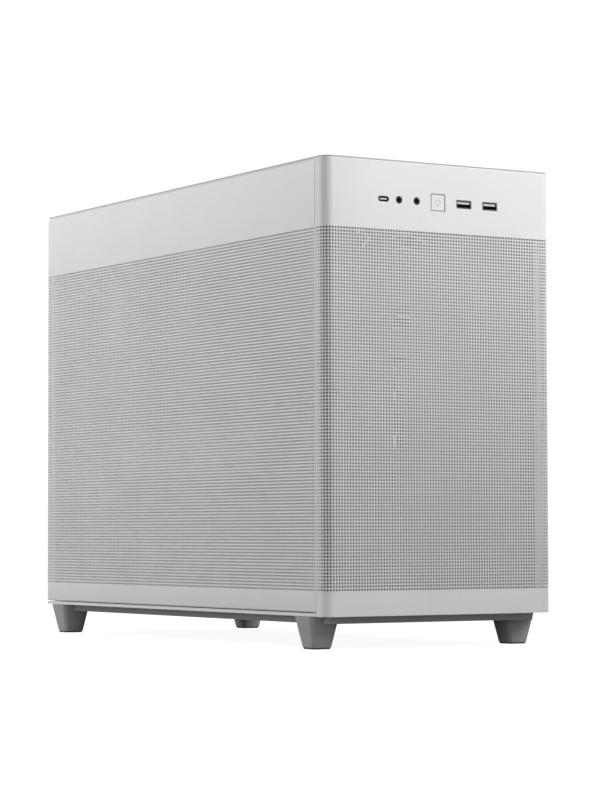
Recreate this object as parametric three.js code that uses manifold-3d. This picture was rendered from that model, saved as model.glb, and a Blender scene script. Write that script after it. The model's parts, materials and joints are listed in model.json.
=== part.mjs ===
// A compact desktop computer tower: a steel chassis with lift-off perforated covers, standing on four
// tapered feet, with the board, cooler, graphics card, power supply and fans that it holds inside.
// Millimetres. +Z is up, the front faces -Y, and the origin is on the floor under the middle of the case.
// The access side is -X: the circuit board lies on a tray near +X and its parts point towards -X.
import * as THREE from "three";
import { mergeVertices } from "three/addons/utils/BufferGeometryUtils.js";
import Module from "manifold-3d";

const wasm = await Module();
wasm.setup();

// ---------------------------------------------------------------- driving dimensions
const CASE_WIDTH = 205;
const CASE_DEPTH = 460;
const CASE_HEIGHT = 363;
const FOOT_HEIGHT = 24.5;
const SHEET = 1.2; // folded steel of the chassis
const SKIN = 1.0; // the perforated covers
const GAP = 0.3; // between pieces that meet face to face
const CORNER_RADIUS = 8; // upright front edges
const SEAM_BACK = 13.2; // from the front face back to the seam of the side covers
const TOP_SKIN = 1.7; // thickness of the top cover's edge
const FAN_SIZE = 120;
const FAN_DEPTH = 25;
const SLOT_PITCH = 20.32; // expansion slots
const BOARD_SIZE = 244; // both sides of the main circuit board
const PORT_DROP = 29.6; // from the top of the case to the row of front sockets

// ---------------------------------------------------------------- derived positions
const HALF_WIDTH = CASE_WIDTH / 2;
const FRONT = -CASE_DEPTH / 2;
const REAR = CASE_DEPTH / 2;
const BODY_BOTTOM = FOOT_HEIGHT;
const COVER_TOP = CASE_HEIGHT - TOP_SKIN - 2 * GAP; // top edge of the front and side covers
const SEAM = FRONT + SEAM_BACK;
const PAN_TOP = BODY_BOTTOM + 2.4;
const INNER_X = HALF_WIDTH - 4; // half the clear width between the side covers
const REAR_SHEET = REAR - 8; // inner face of the rear sheet
const TRAY_X = 76;
const BOARD_X = TRAY_X - 6; // back of the circuit board, on its stand-offs
const BOARD_FACE = BOARD_X - 1.6;
const BOARD_TOP = CASE_HEIGHT - 22;
const BOARD_REAR = REAR_SHEET - 1;
const PORT_Z = CASE_HEIGHT - PORT_DROP;
const SLOT_Z = BOARD_TOP - 168; // centre of the first expansion slot
const INSIDE_TOP = COVER_TOP - 1;

// ---------------------------------------------------------------- materials
const paint = (color, roughness = 0.6, metalness = 0.1) =>
  new THREE.MeshStandardMaterial({ color, roughness, metalness });
const WHITE_STEEL = paint(0xe6e5e4);
const GREY_STEEL = paint(0x8a8b8d); // the frame inside the covers
const WHITE_PLASTIC = paint(0xe9e9e8, 0.5, 0);
const GREY_PLASTIC = paint(0x6f6d6e, 0.65, 0);
const BLACK_PLASTIC = paint(0x1b1b1c, 0.55, 0);
const BARE_STEEL = paint(0xb9bbbd, 0.35, 0.9);
const ALUMINIUM = paint(0xc9cbcd, 0.35, 0.9);
const CIRCUIT_BOARD = paint(0xd7d9d8, 0.5, 0.05);
const SLEEVE = paint(0xdcdcdc, 0.8, 0);

// ---------------------------------------------------------------- solids
const root = new THREE.Group();

const ordered = (a, b) => (a < b ? [a, b] : [b, a]);

// A box from its low and high corner along each axis.
function block([x0, x1], [y0, y1], [z0, z1]) {
  const g = new THREE.BoxGeometry(x1 - x0, y1 - y0, z1 - z0);
  return g.translate((x0 + x1) / 2, (y0 + y1) / 2, (z0 + z1) / 2);
}

// A cylinder from a point along +X, +Y or +Z.
function rod(radius, length, axis, [x, y, z], sides = 24) {
  const g = new THREE.CylinderGeometry(radius, radius, length, sides).translate(0, length / 2, 0);
  if (axis === "x") g.rotateZ(-Math.PI / 2);
  if (axis === "z") g.rotateX(Math.PI / 2);
  return g.translate(x, y, z);
}

// A rectangle with round corners, centred on the origin.
function roundedRectangle(width, height, radius) {
  const [x, y] = [width / 2, height / 2];
  const s = new THREE.Shape();
  s.absarc(x - radius, y - radius, radius, 0, Math.PI / 2);
  s.absarc(radius - x, y - radius, radius, Math.PI / 2, Math.PI);
  s.absarc(radius - x, radius - y, radius, Math.PI, 1.5 * Math.PI);
  s.absarc(x - radius, radius - y, radius, 1.5 * Math.PI, 2 * Math.PI);
  s.closePath();
  return s;
}

// A shape in the XY plane, raised along +Z.
function raise(shape, height, z = 0, curveSegments = 4) {
  const g = new THREE.ExtrudeGeometry(shape, { depth: height, bevelEnabled: false, curveSegments });
  return g.translate(0, 0, z);
}

// The geometry as a solid that can be joined and cut.
function solid(geometry) {
  const g = (geometry.index ? geometry.toNonIndexed() : geometry.clone());
  g.deleteAttribute("normal");
  g.deleteAttribute("uv");
  const merged = mergeVertices(g, 1e-4);
  return new wasm.Manifold(
    new wasm.Mesh({
      numProp: 3,
      vertProperties: merged.attributes.position.array,
      triVerts: new Uint32Array(merged.index.array),
    }),
  );
}

function geometryOf(made) {
  const mesh = made.getMesh();
  return new THREE.BufferGeometry()
    .setAttribute("position", new THREE.BufferAttribute(new Float32Array(mesh.vertProperties), 3))
    .setIndex(new THREE.BufferAttribute(new Uint32Array(mesh.triVerts), 1));
}

// The first list's geometries joined, less the second list's.
function shape(joined, cut = []) {
  let made = solid(joined[0]);
  for (const g of joined.slice(1)) made = made.add(solid(g));
  for (const g of cut) made = made.subtract(solid(g));
  return geometryOf(made);
}

function piece(parent, name, geometry, material, [x, y, z] = [0, 0, 0]) {
  const mesh = new THREE.Mesh(geometry, material);
  mesh.name = name;
  mesh.position.set(x, y, z);
  parent.add(mesh);
  return mesh;
}

function assembly([x, y, z], rotateX = 0) {
  const g = new THREE.Group();
  g.position.set(x, y, z);
  g.rotation.x = rotateX;
  root.add(g);
  return g;
}

// ---------------------------------------------------------------- chassis
const FOOT_X = 88.9;
const FRONT_FOOT_Y = FRONT + 34.1;
const REAR_FOOT_Y = REAR - 18;
const FOOT_TOP = 27; // side of the foot's square top
const FOOT_TIP = 17.6; // side of its square tip
const FOOT_CLEARANCE = FOOT_TOP / 2 + 0.7;
const FILTER_HALF_X = 63;
const SKIRT_Z = BODY_BOTTOM - 5.6;
const FEET = {
  foot_front_left: [-FOOT_X, FRONT_FOOT_Y],
  foot_front_right: [FOOT_X, FRONT_FOOT_Y],
  foot_rear_left: [-FOOT_X, REAR_FOOT_Y],
  foot_rear_right: [FOOT_X, REAR_FOOT_Y],
};

function basePan() {
  const slots = [];
  const [slotWidth, slotLength, slotPitch, slotsPerFan] = [7, 96, 15, 6];
  for (const fanY of [-70, 80]) {
    for (let i = 0; i < slotsPerFan; i++) {
      const x = (i - (slotsPerFan - 1) / 2) * slotPitch;
      slots.push(
        block(
          [x - slotWidth / 2, x + slotWidth / 2],
          [fanY - slotLength / 2, fanY + slotLength / 2],
          [BODY_BOTTOM - 1, PAN_TOP + 1],
        ),
      );
    }
  }
  const plate = block([-HALF_WIDTH, HALF_WIDTH], [SEAM + GAP, REAR], [BODY_BOTTOM, PAN_TOP]);
  piece(root, "base_pan", shape([plate], slots), WHITE_STEEL);
}

// The grey tray under the chassis: a U that the dust filter slides into from behind.
function baseSkirt() {
  const [outerX, frontY, rearY] = [92, FRONT + 12, REAR - 4];
  const outer = block([-outerX, outerX], [frontY, rearY], [SKIRT_Z, BODY_BOTTOM - 0.1]);
  const channel = block([-FILTER_HALF_X, FILTER_HALF_X], [FRONT + 42, REAR], [0, BODY_BOTTOM + 1]);
  const corners = Object.values(FEET).map(([x, y]) =>
    block(
      ordered(x - Math.sign(x) * FOOT_CLEARANCE, Math.sign(x) * CASE_WIDTH),
      [y - FOOT_CLEARANCE, y + FOOT_CLEARANCE],
      [0, BODY_BOTTOM + 1],
    ),
  );
  piece(root, "base_skirt", shape([outer], [channel, ...corners]), GREY_PLASTIC);
}

// A sheet with long slots that fills the skirt's channel.
function bottomFilter() {
  const halfX = FILTER_HALF_X - GAP;
  const [low, high] = [SKIRT_Z + 1.2, BODY_BOTTOM - 0.8];
  const [firstY, lastY] = [FRONT + 43, REAR - 6];
  const windows = [];
  const [rows, columns, bar] = [8, 3, 6];
  const stepY = (lastY - firstY - bar) / rows;
  const stepX = (2 * halfX - bar) / columns;
  for (let i = 0; i < rows; i++) {
    for (let j = 0; j < columns; j++) {
      const x = -halfX + bar + j * stepX;
      const y = firstY + bar + i * stepY;
      windows.push(block([x, x + stepX - bar], [y, y + stepY - bar], [low + 0.8, high + 1]));
    }
  }
  const frame = block([-halfX, halfX], [firstY, lastY], [low, high]);
  piece(root, "bottom_filter", shape([frame], windows), GREY_PLASTIC);
}

// A foot tapers from a round-cornered square under the case to a smaller one on the floor.
function foot(name, [x, y]) {
  const steps = 4;
  const outline = (side, radius) => {
    const points = roundedRectangle(side, side, radius).getPoints(steps);
    return points.slice(0, points.length - (points[0].distanceTo(points.at(-1)) < 1e-6 ? 1 : 0));
  };
  const [low, high] = [outline(FOOT_TIP, 5), outline(FOOT_TOP, 6)];
  const n = low.length;
  const vertices = [];
  for (const p of low) vertices.push(p.x, p.y, 0);
  for (const p of high) vertices.push(p.x, p.y, FOOT_HEIGHT - 0.1);
  const faces = [];
  for (let i = 0; i < n; i++) {
    const j = (i + 1) % n;
    faces.push(i, j, n + j, i, n + j, n + i);
    if (i > 0 && i < n - 1) faces.push(0, i + 1, i, n, n + i, n + i + 1);
  }
  const g = new THREE.BufferGeometry();
  g.setAttribute("position", new THREE.BufferAttribute(new Float32Array(vertices), 3));
  g.setIndex(faces);
  piece(root, name, g, GREY_PLASTIC, [x, y, 0]);
}

// Rear sheet: socket aperture, fan vent, expansion slots, a corner for the inlet plate, and the ledge
// that the slot tabs are screwed to.
const REAR_FAN = { x: -36.5, z: CASE_HEIGHT - 76 };
const PORT_APERTURE = { x: [22, 68], z: [BOARD_TOP - 159.5, BOARD_TOP - 0.7] };
const SLOT_X = [-46, 58];
const TAB_X = -53;
const INLET = { x: -62, z: 58, width: 28, height: 21 };
const INLET_PLATE = { x: [-INNER_X, -38], z: [PAN_TOP + GAP, 84] };

function rearPanel() {
  const through = [REAR_SHEET - 2, REAR_SHEET + SHEET + 2];
  const cuts = [block(PORT_APERTURE.x, through, PORT_APERTURE.z)];
  const [ventRadius, ventPitch, ventWidth] = [54, 12, 7];
  for (let i = -4; i <= 4; i++) {
    const dx = i * ventPitch;
    const half = Math.sqrt(ventRadius ** 2 - dx ** 2);
    const x = REAR_FAN.x + dx;
    cuts.push(
      block([x - ventWidth / 2, x + ventWidth / 2], through, [REAR_FAN.z - half, REAR_FAN.z + half]),
    );
  }
  for (let i = 0; i < 4; i++) {
    const z = SLOT_Z - i * SLOT_PITCH;
    cuts.push(block(SLOT_X, through, [z - 7, z + 7]));
  }
  cuts.push(block([TAB_X - 3, TAB_X + 0.1], through, [SLOT_Z - 3.5 * SLOT_PITCH, SLOT_Z + 10]));
  const { x: plateX, z: plateZ } = INLET_PLATE;
  cuts.push(block([plateX[0] - 1, plateX[1] + GAP], through, [plateZ[0] - 1, plateZ[1] + GAP]));
  const sheet = block(
    [-INNER_X, INNER_X],
    [REAR_SHEET, REAR_SHEET + SHEET],
    [PAN_TOP + GAP, INSIDE_TOP],
  );
  const ledge = block(
    [TAB_X + 0.3, TAB_X + 1.5],
    [REAR_SHEET + 0.2, REAR - 1],
    [SLOT_Z - 3.5 * SLOT_PITCH, SLOT_Z + 10],
  );
  piece(root, "rear_panel", shape([sheet, ledge], cuts), WHITE_STEEL);
}

// The small plate in the rear sheet's lower corner that carries the mains inlet.
function inletPlate() {
  const [w, h] = [INLET.width / 2 + 0.4, INLET.height / 2 + 0.4];
  const plate = block(INLET_PLATE.x, [REAR_SHEET, REAR_SHEET + SHEET], INLET_PLATE.z);
  const hole = block(
    [INLET.x - w, INLET.x + w],
    [REAR_SHEET - 1, REAR_SHEET + SHEET + 1],
    [INLET.z - h, INLET.z + h],
  );
  piece(root, "inlet_plate", shape([plate], [hole]), WHITE_STEEL);
}

const CPU_Y = BOARD_REAR - 88;
const CPU_Z = BOARD_TOP - 75;
const CPU_WINDOW = { y: [CPU_Y - 45, CPU_Y + 45], z: [CPU_Z - 45, CPU_Z + 45] };

function motherboardTray() {
  const through = [TRAY_X - 2, TRAY_X + SHEET + 2];
  const cuts = [block(through, CPU_WINDOW.y, CPU_WINDOW.z)];
  for (const z of [110, 190, 270]) cuts.push(block(through, [-54, -34], [z, z + 56]));
  const sheet = block(
    [TRAY_X, TRAY_X + SHEET],
    [-66, REAR_SHEET - GAP],
    [PAN_TOP + GAP, INSIDE_TOP],
  );
  const frontFold = block([TRAY_X, TRAY_X + 16], [-66, -66 + SHEET], [PAN_TOP + GAP, INSIDE_TOP]);
  piece(root, "motherboard_tray", shape([sheet, frontFold], cuts), GREY_STEEL);
}

// The sheet behind the perforated front, with a column of cable slots and two windows above it.
const PLATE_Y = SEAM + 4;
function frontPlate() {
  const through = [PLATE_Y - 3, PLATE_Y + SHEET + 3];
  const cuts = [];
  const slotX = [-32, -16];
  const slots = [
    [150, 176],
    [186, 202.5],
    [208.5, 218.5],
    [238, 255.5],
  ];
  for (const z of slots) cuts.push(block(slotX, through, z));
  for (const x of [[-64, -50], [-32, 0]]) cuts.push(block(x, through, [298, 312]));
  const sheet = block(
    [-INNER_X, INNER_X],
    [PLATE_Y, PLATE_Y + SHEET],
    [PAN_TOP + GAP, PORT_Z - 16],
  );
  piece(root, "front_plate", shape([sheet], cuts), GREY_STEEL);
}

// An upside-down L along each upper edge, from the front plate to the rear sheet.
function topRail(name, side) {
  const [outer, inner, thick] = [INNER_X - 0.2, INNER_X - 15, SHEET];
  const span = [PLATE_Y + 6, REAR_SHEET - GAP];
  const flat = block(ordered(side * inner, side * outer), span, [INSIDE_TOP - thick, INSIDE_TOP]);
  const web = block(ordered(side * (outer - thick), side * outer), span, [INSIDE_TOP - 9, INSIDE_TOP]);
  const trayTop = block([60, 92.8], [-70, REAR], [INSIDE_TOP - 2, INSIDE_TOP + 1]);
  const made = shape([flat, web], side > 0 ? [trayTop] : []);
  piece(root, name, made, GREY_STEEL);
}

// ---------------------------------------------------------------- covers
// A plan outline with round front corners and a straight back.
function coverOutline(halfWidth, frontY, backY, radius) {
  const s = new THREE.Shape();
  s.moveTo(-halfWidth, backY);
  s.lineTo(-halfWidth, frontY + radius);
  s.absarc(radius - halfWidth, frontY + radius, radius, Math.PI, 1.5 * Math.PI);
  s.absarc(halfWidth - radius, frontY + radius, radius, 1.5 * Math.PI, 2 * Math.PI);
  s.lineTo(halfWidth, backY);
  s.closePath();
  return s;
}

const SOCKETS = {
  usb_c_port: { x: -50.7, width: 9.4, height: 3.9 },
  audio_jack_1: { x: -37, width: 5.6, height: 5.6 },
  audio_jack_2: { x: -21.2, width: 5.6, height: 5.6 },
  power_button: { x: -1.9, width: 12.2, height: 12.2 },
  usb_a_port_1: { x: 21.7, width: 13.4, height: 6 },
  usb_a_port_2: { x: 45.6, width: 13.4, height: 6 },
};

function frontPanel() {
  const height = COVER_TOP - BODY_BOTTOM;
  const outer = raise(coverOutline(HALF_WIDTH, FRONT, SEAM, CORNER_RADIUS), height, BODY_BOTTOM);
  const skin = SKIN + 0.2;
  const inner = raise(
    coverOutline(HALF_WIDTH - skin, FRONT + skin, SEAM + 1, CORNER_RADIUS - skin),
    height - 2 * skin,
    BODY_BOTTOM + skin,
  );
  const cuts = Object.values(SOCKETS).map(({ x, width, height: tall }) => {
    const [w, h] = [width / 2 + 0.35, tall / 2 + 0.35];
    return block([x - w, x + w], [FRONT - 1, FRONT + 3], [PORT_Z - h, PORT_Z + h]);
  });
  piece(root, "front_panel", shape([outer], [inner, ...cuts]), WHITE_STEEL);
}

function sidePanel(name, side) {
  const flange = 3.5;
  const spanX = ordered(side * (HALF_WIDTH - flange), side * HALF_WIDTH);
  const hollowX = ordered(side * (HALF_WIDTH - flange - 1), side * (HALF_WIDTH - SKIN));
  const [y, z] = [[SEAM + GAP, REAR], [PAN_TOP + 0.7, COVER_TOP]];
  const inside = ([a, b]) => [a + SKIN, b - SKIN];
  piece(
    root,
    name,
    shape([block(spanX, y, z)], [block(hollowX, inside(y), inside(z))]),
    WHITE_STEEL,
  );
}

function topPanel() {
  const low = CASE_HEIGHT - TOP_SKIN;
  const plate = raise(coverOutline(HALF_WIDTH, FRONT, REAR, CORNER_RADIUS), TOP_SKIN, low);
  const ribs = [-1, 1].map((side) => {
    return block(ordered(side * 80, side * 81.2), [FRONT + 30, REAR - 20], [low - 1.4, low + 0.5]);
  });
  piece(root, "top_panel", shape([plate, ...ribs]), WHITE_STEEL);
}

// ---------------------------------------------------------------- front sockets and button
function frontSockets() {
  const boardFront = SEAM + 0.6;
  const reach = [FRONT + 0.3, boardFront - GAP];
  const bar = block([-60, 58], [boardFront, boardFront + 1.6], [PORT_Z - 12, PORT_Z + 12]);
  const ear = block([-74, 74], [boardFront + 1.6, boardFront + 3], [PORT_Z - 10, PORT_Z - 4]);
  const { x: buttonX, width: buttonWidth } = SOCKETS.power_button;
  const [switchDeep, switchHalf] = [4, 3.1];
  const powerSwitch = block(
    [buttonX - switchHalf, buttonX + switchHalf],
    [boardFront - switchDeep, boardFront + 0.5],
    [PORT_Z - switchHalf, PORT_Z + switchHalf],
  );
  piece(root, "front_io_board", shape([bar, ear, powerSwitch]), CIRCUIT_BOARD);

  for (const name of ["usb_a_port_1", "usb_a_port_2"]) {
    const { x, width, height } = SOCKETS[name];
    const [w, h, wall] = [width / 2, height / 2, 0.6];
    const shell = block([x - w, x + w], reach, [PORT_Z - h, PORT_Z + h]);
    const mouth = block(
      [x - w + wall, x + w - wall],
      [reach[0] - 1, reach[1] - 1.5],
      [PORT_Z - h + wall, PORT_Z + h - wall],
    );
    const tongue = block(
      [x - w + 1.2, x + w - 1.2],
      [reach[0] + 1.2, reach[1] - 1],
      [PORT_Z + 0.1, PORT_Z + 1.8],
    );
    const hollow = geometryOf(solid(shell).subtract(solid(mouth)));
    piece(root, name, shape([hollow, tongue]), BARE_STEEL);
  }

  const c = SOCKETS.usb_c_port;
  const lying = (width, height, deep, radius) =>
    raise(roundedRectangle(width, height, radius), deep).rotateX(Math.PI / 2);
  const deep = reach[1] - reach[0];
  const cShell = lying(c.width, c.height, deep, 1.9).translate(c.x, reach[1], PORT_Z);
  const cMouth = lying(c.width - 1.2, c.height - 1.2, deep, 1.3);
  cMouth.translate(c.x, reach[1] - 1.5, PORT_Z);
  const tongueZ = [PORT_Z - 0.4, PORT_Z + 0.4];
  const cTongue = block([c.x - 3, c.x + 3], [reach[0] + 1, reach[1] - 1], tongueZ);
  const cHollow = geometryOf(solid(cShell).subtract(solid(cMouth)));
  piece(root, "usb_c_port", shape([cHollow, cTongue]), BARE_STEEL);

  for (const name of ["audio_jack_1", "audio_jack_2"]) {
    const { x, width } = SOCKETS[name];
    const barrel = rod(width / 2, deep, "y", [x, reach[0], PORT_Z], 16);
    const bore = rod(1.75, deep - 1.5, "y", [x, reach[0] - 1, PORT_Z], 12);
    const flangeZ = [PORT_Z - 3.4, PORT_Z + 3.4];
    const flange = block([x - 3.4, x + 3.4], [reach[1] - 6, reach[1]], flangeZ);
    piece(root, name, shape([barrel, flange], [bore]), BLACK_PLASTIC);
  }

  // The button's stem stops just short of the switch, which its travel closes.
  const [w, travel] = [buttonWidth / 2, 1.2];
  const face = block([buttonX - w, buttonX + w], [FRONT + 0.2, FRONT + 3.2], [PORT_Z - w, PORT_Z + w]);
  const stemEnd = boardFront - switchDeep - travel - 0.3;
  const stem = block([buttonX - 2, buttonX + 2], [FRONT + 3, stemEnd], [PORT_Z - 2, PORT_Z + 2]);
  piece(root, "power_button", shape([face, stem]), WHITE_PLASTIC);
}

// ---------------------------------------------------------------- fans
// A rotor about +Z: a cup and swept, pitched blades. Each blade is a curved strip with thickness.
function rotorGeometry(hubRadius, tipRadius, height, blades, chordDegrees) {
  const parts = [rod(hubRadius, height, "z", [0, 0, 0], 20)];
  const [alongSteps, acrossSteps, thick] = [3, 3, 1.6];
  const [startRadius, low, high] = [hubRadius - 1.5, 1.5, height - 1.5];
  for (let b = 0; b < blades; b++) {
    const start = (b / blades) * 2 * Math.PI;
    const at = (u, v, side) => {
      const radius = startRadius + u * (tipRadius - startRadius);
      const sweep = 0.35 * u;
      const angle = start + sweep + THREE.MathUtils.degToRad(chordDegrees) * v;
      const z = low + (high - low - thick) * v + side * thick;
      return [radius * Math.cos(angle), radius * Math.sin(angle), z];
    };
    const vertices = [];
    for (const side of [0, 1])
      for (let i = 0; i <= alongSteps; i++)
        for (let j = 0; j <= acrossSteps; j++)
          vertices.push(...at(i / alongSteps, j / acrossSteps, side));
    const row = acrossSteps + 1;
    const layer = row * (alongSteps + 1);
    const faces = [];
    const quad = (p, q, r, s) => faces.push(p, q, r, p, r, s);
    for (let i = 0; i < alongSteps; i++)
      for (let j = 0; j < acrossSteps; j++) {
        const k = i * row + j;
        quad(k, k + 1, k + row + 1, k + row);
        quad(layer + k, layer + k + row, layer + k + row + 1, layer + k + 1);
      }
    for (let i = 0; i < alongSteps; i++) {
      const [k, m] = [i * row, i * row + acrossSteps];
      quad(k, k + row, layer + k + row, layer + k);
      quad(m, layer + m, layer + m + row, m + row);
    }
    for (let j = 0; j < acrossSteps; j++) {
      const m = alongSteps * row + j;
      quad(j, layer + j, layer + j + 1, j + 1);
      quad(m, m + 1, layer + m + 1, layer + m);
    }
    const g = new THREE.BufferGeometry();
    g.setAttribute("position", new THREE.BufferAttribute(new Float32Array(vertices), 3));
    g.setIndex(faces);
    parts.push(g);
  }
  return shape(parts);
}

// A square frame about +Z from 0 to its depth, with a motor mount on four struts at the low end.
function fanFrameGeometry() {
  const [half, bore, hub, mountHeight] = [FAN_SIZE / 2, 57.6, 20, 3];
  const ring = geometryOf(
    solid(block([-half, half], [-half, half], [0, FAN_DEPTH])).subtract(
      solid(rod(bore, FAN_DEPTH + 2, "z", [0, 0, -1], 28)),
    ),
  );
  const mount = rod(hub, mountHeight, "z", [0, 0, 0], 20);
  const across = block([-bore - 1, bore + 1], [-2.5, 2.5], [0, mountHeight]);
  const along = block([-2.5, 2.5], [-bore - 1, bore + 1], [0, mountHeight]);
  return shape([ring, mount, across, along]);
}

const ROTOR_LIFT = 4; // from the mount's outer face to the rotor
function fan(group, frameName, rotorName) {
  piece(group, frameName, fanFrameGeometry(), WHITE_PLASTIC);
  const height = FAN_DEPTH - ROTOR_LIFT - 2;
  piece(group, rotorName, rotorGeometry(21, 55.5, height, 7, 38), WHITE_PLASTIC, [0, 0, ROTOR_LIFT]);
}

function rearFan() {
  const group = assembly([REAR_FAN.x, REAR_SHEET - GAP, REAR_FAN.z], Math.PI / 2);
  fan(group, "rear_fan_frame", "rear_fan_rotor");
}

// ---------------------------------------------------------------- main board
const BOARD_LOW = BOARD_TOP - BOARD_SIZE;
const BOARD_FRONT = BOARD_REAR - BOARD_SIZE;
const ON_BOARD = BOARD_FACE - 0.2; // where parts on the board begin
const MEMORY_Y = [BOARD_REAR - 158, BOARD_REAR - 168];
const MEMORY_Z = [BOARD_TOP - 145, BOARD_TOP - 4.2];

// A part on the board that stands off it towards -X.
function onBoard(name, height, y, z, material) {
  piece(root, name, block([ON_BOARD - height, ON_BOARD], y, z), material);
}

function mainBoard() {
  const board = block([BOARD_FACE, BOARD_X], [BOARD_FRONT, BOARD_REAR], [BOARD_LOW, BOARD_TOP]);
  piece(root, "motherboard", board, CIRCUIT_BOARD);
  onBoard("cpu_socket", 7, [CPU_Y - 24, CPU_Y + 24], [CPU_Z - 30, CPU_Z + 30], BARE_STEEL);
  const finSlots = [];
  const sinkZ = [BOARD_TOP - 122, BOARD_TOP - 8];
  for (let z = sinkZ[0] + 8; z < sinkZ[1] - 8; z += 16)
    finSlots.push(block([ON_BOARD - 30, ON_BOARD - 12], [0, REAR], [z, z + 4]));
  const sink = block([ON_BOARD - 26, ON_BOARD], [BOARD_REAR - 54, BOARD_REAR - 36], sinkZ);
  piece(root, "vrm_heatsink", shape([sink], finSlots), ALUMINIUM);
  const chipsetY = [BOARD_FRONT + 30, BOARD_FRONT + 78];
  onBoard("chipset_heatsink", 9, chipsetY, [BOARD_LOW + 14, BOARD_LOW + 60], ALUMINIUM);
  const slotY = [BOARD_REAR - 160, BOARD_REAR - 71];
  onBoard("graphics_slot", 11, slotY, [SLOT_Z - 3.6, SLOT_Z + 3.6], BLACK_PLASTIC);

  // Two memory slots on one base, each with a module and a latch at its upper end.
  const slots = MEMORY_Y.map((y) => block([ON_BOARD - 8, ON_BOARD], [y - 3.2, y + 3.2], MEMORY_Z));
  const base = block([ON_BOARD - 1.2, ON_BOARD], [MEMORY_Y[1], MEMORY_Y[0]], MEMORY_Z);
  piece(root, "memory_slots", shape([...slots, base]), BLACK_PLASTIC);
  MEMORY_Y.forEach((y, i) => {
    const moduleZ = [MEMORY_Z[0] + 4, MEMORY_Z[1] - 4];
    const module = block([ON_BOARD - 39, ON_BOARD - 8.2], [y - 3, y + 3], moduleZ);
    piece(root, `memory_module_${i + 1}`, module, ALUMINIUM);
    const latchZ = [MEMORY_Z[1] + 0.4, MEMORY_Z[1] + 3.6];
    const latch = block([ON_BOARD - 15, ON_BOARD - 1], [y - 2.8, y + 2.8], latchZ);
    piece(root, `memory_latch_${i + 1}`, latch, WHITE_PLASTIC);
  });
  const latchX = [ON_BOARD - 10.6, ON_BOARD - 1];
  const latchY = [BOARD_REAR - 165, BOARD_REAR - 160.6];
  const latch = block(latchX, latchY, [SLOT_Z - 3, SLOT_Z + 3]);
  piece(root, "graphics_slot_latch", latch, WHITE_PLASTIC);
}

// The sockets at the board's rear edge reach out through the shield that fills the rear aperture.
const PORT_STACKS = [
  [3, 20],
  [26, 52],
  [57, 74],
  [79, 97],
  [112, 146],
];
function rearSockets() {
  const shieldY = [REAR_SHEET + SHEET + 0.2, REAR_SHEET + SHEET + 1];
  const stackX = [ON_BOARD - 33, ON_BOARD - 1.5];
  const stackAt = PORT_STACKS.map(([a, b]) => [BOARD_TOP - 4 - b, BOARD_TOP - 4 - a]);
  const barZ = [stackAt.at(-1)[0], stackAt[0][1]];
  const bar = block([ON_BOARD - 14, ON_BOARD], [BOARD_REAR - 32, BOARD_REAR - 24], barZ);
  const stacks = stackAt.map((z) => block(stackX, [BOARD_REAR - 26, shieldY[1] + 1.6], z));
  piece(root, "rear_port_block", shape([bar, ...stacks]), BARE_STEEL);
  const cuts = stackAt.map(([a, b]) =>
    block([stackX[0] - 0.4, stackX[1] + 0.4], [shieldY[0] - 1, shieldY[1] + 1], [a - 0.4, b + 0.4]),
  );
  const plate = block(
    [PORT_APERTURE.x[0] - 1.5, PORT_APERTURE.x[1] + 3],
    shieldY,
    [PORT_APERTURE.z[0] - 2, PORT_APERTURE.z[1] + 2],
  );
  piece(root, "io_shield", shape([plate], cuts), BARE_STEEL);
}

// ---------------------------------------------------------------- cooler
const FIN_X = [-86, 20]; // the fin stack's far and near ends
function cooler() {
  const [deep, tall] = [46, FAN_SIZE];
  const finsY = [CPU_Y - deep / 2 + 4, CPU_Y + deep / 2 + 4];
  const finsZ = [CPU_Z - tall / 2, CPU_Z + tall / 2];
  const baseTop = ON_BOARD - 7.3;
  const base = block([baseTop - 10, baseTop], [CPU_Y - 20, CPU_Y + 20], [CPU_Z - 20, CPU_Z + 20]);
  const pipes = [-33, -11, 11, 33].map((dz) =>
    rod(3, baseTop - 5 - FIN_X[1] - GAP, "x", [FIN_X[1] + GAP, CPU_Y + 4, CPU_Z + dz], 8),
  );
  const spreader = block([baseTop - 9, baseTop - 2], [CPU_Y, CPU_Y + 8], [CPU_Z - 37, CPU_Z + 37]);
  piece(root, "cooler_base", shape([base, spreader, ...pipes]), ALUMINIUM);
  const gaps = [];
  for (let x = FIN_X[0] + 7; x < FIN_X[1] - 5; x += 14) // between groups of fins
    gaps.push(block([x, x + 3], [finsY[0] - 1, finsY[0] + 12], [finsZ[0] - 1, finsZ[1] + 1]));
  piece(root, "cooler_fins", shape([block(FIN_X, finsY, finsZ)], gaps), ALUMINIUM);
  const group = assembly([(FIN_X[0] + FIN_X[1]) / 2 - 7, finsY[0] - GAP, CPU_Z], Math.PI / 2);
  fan(group, "cooler_fan_frame", "cooler_fan_rotor");
}

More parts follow.
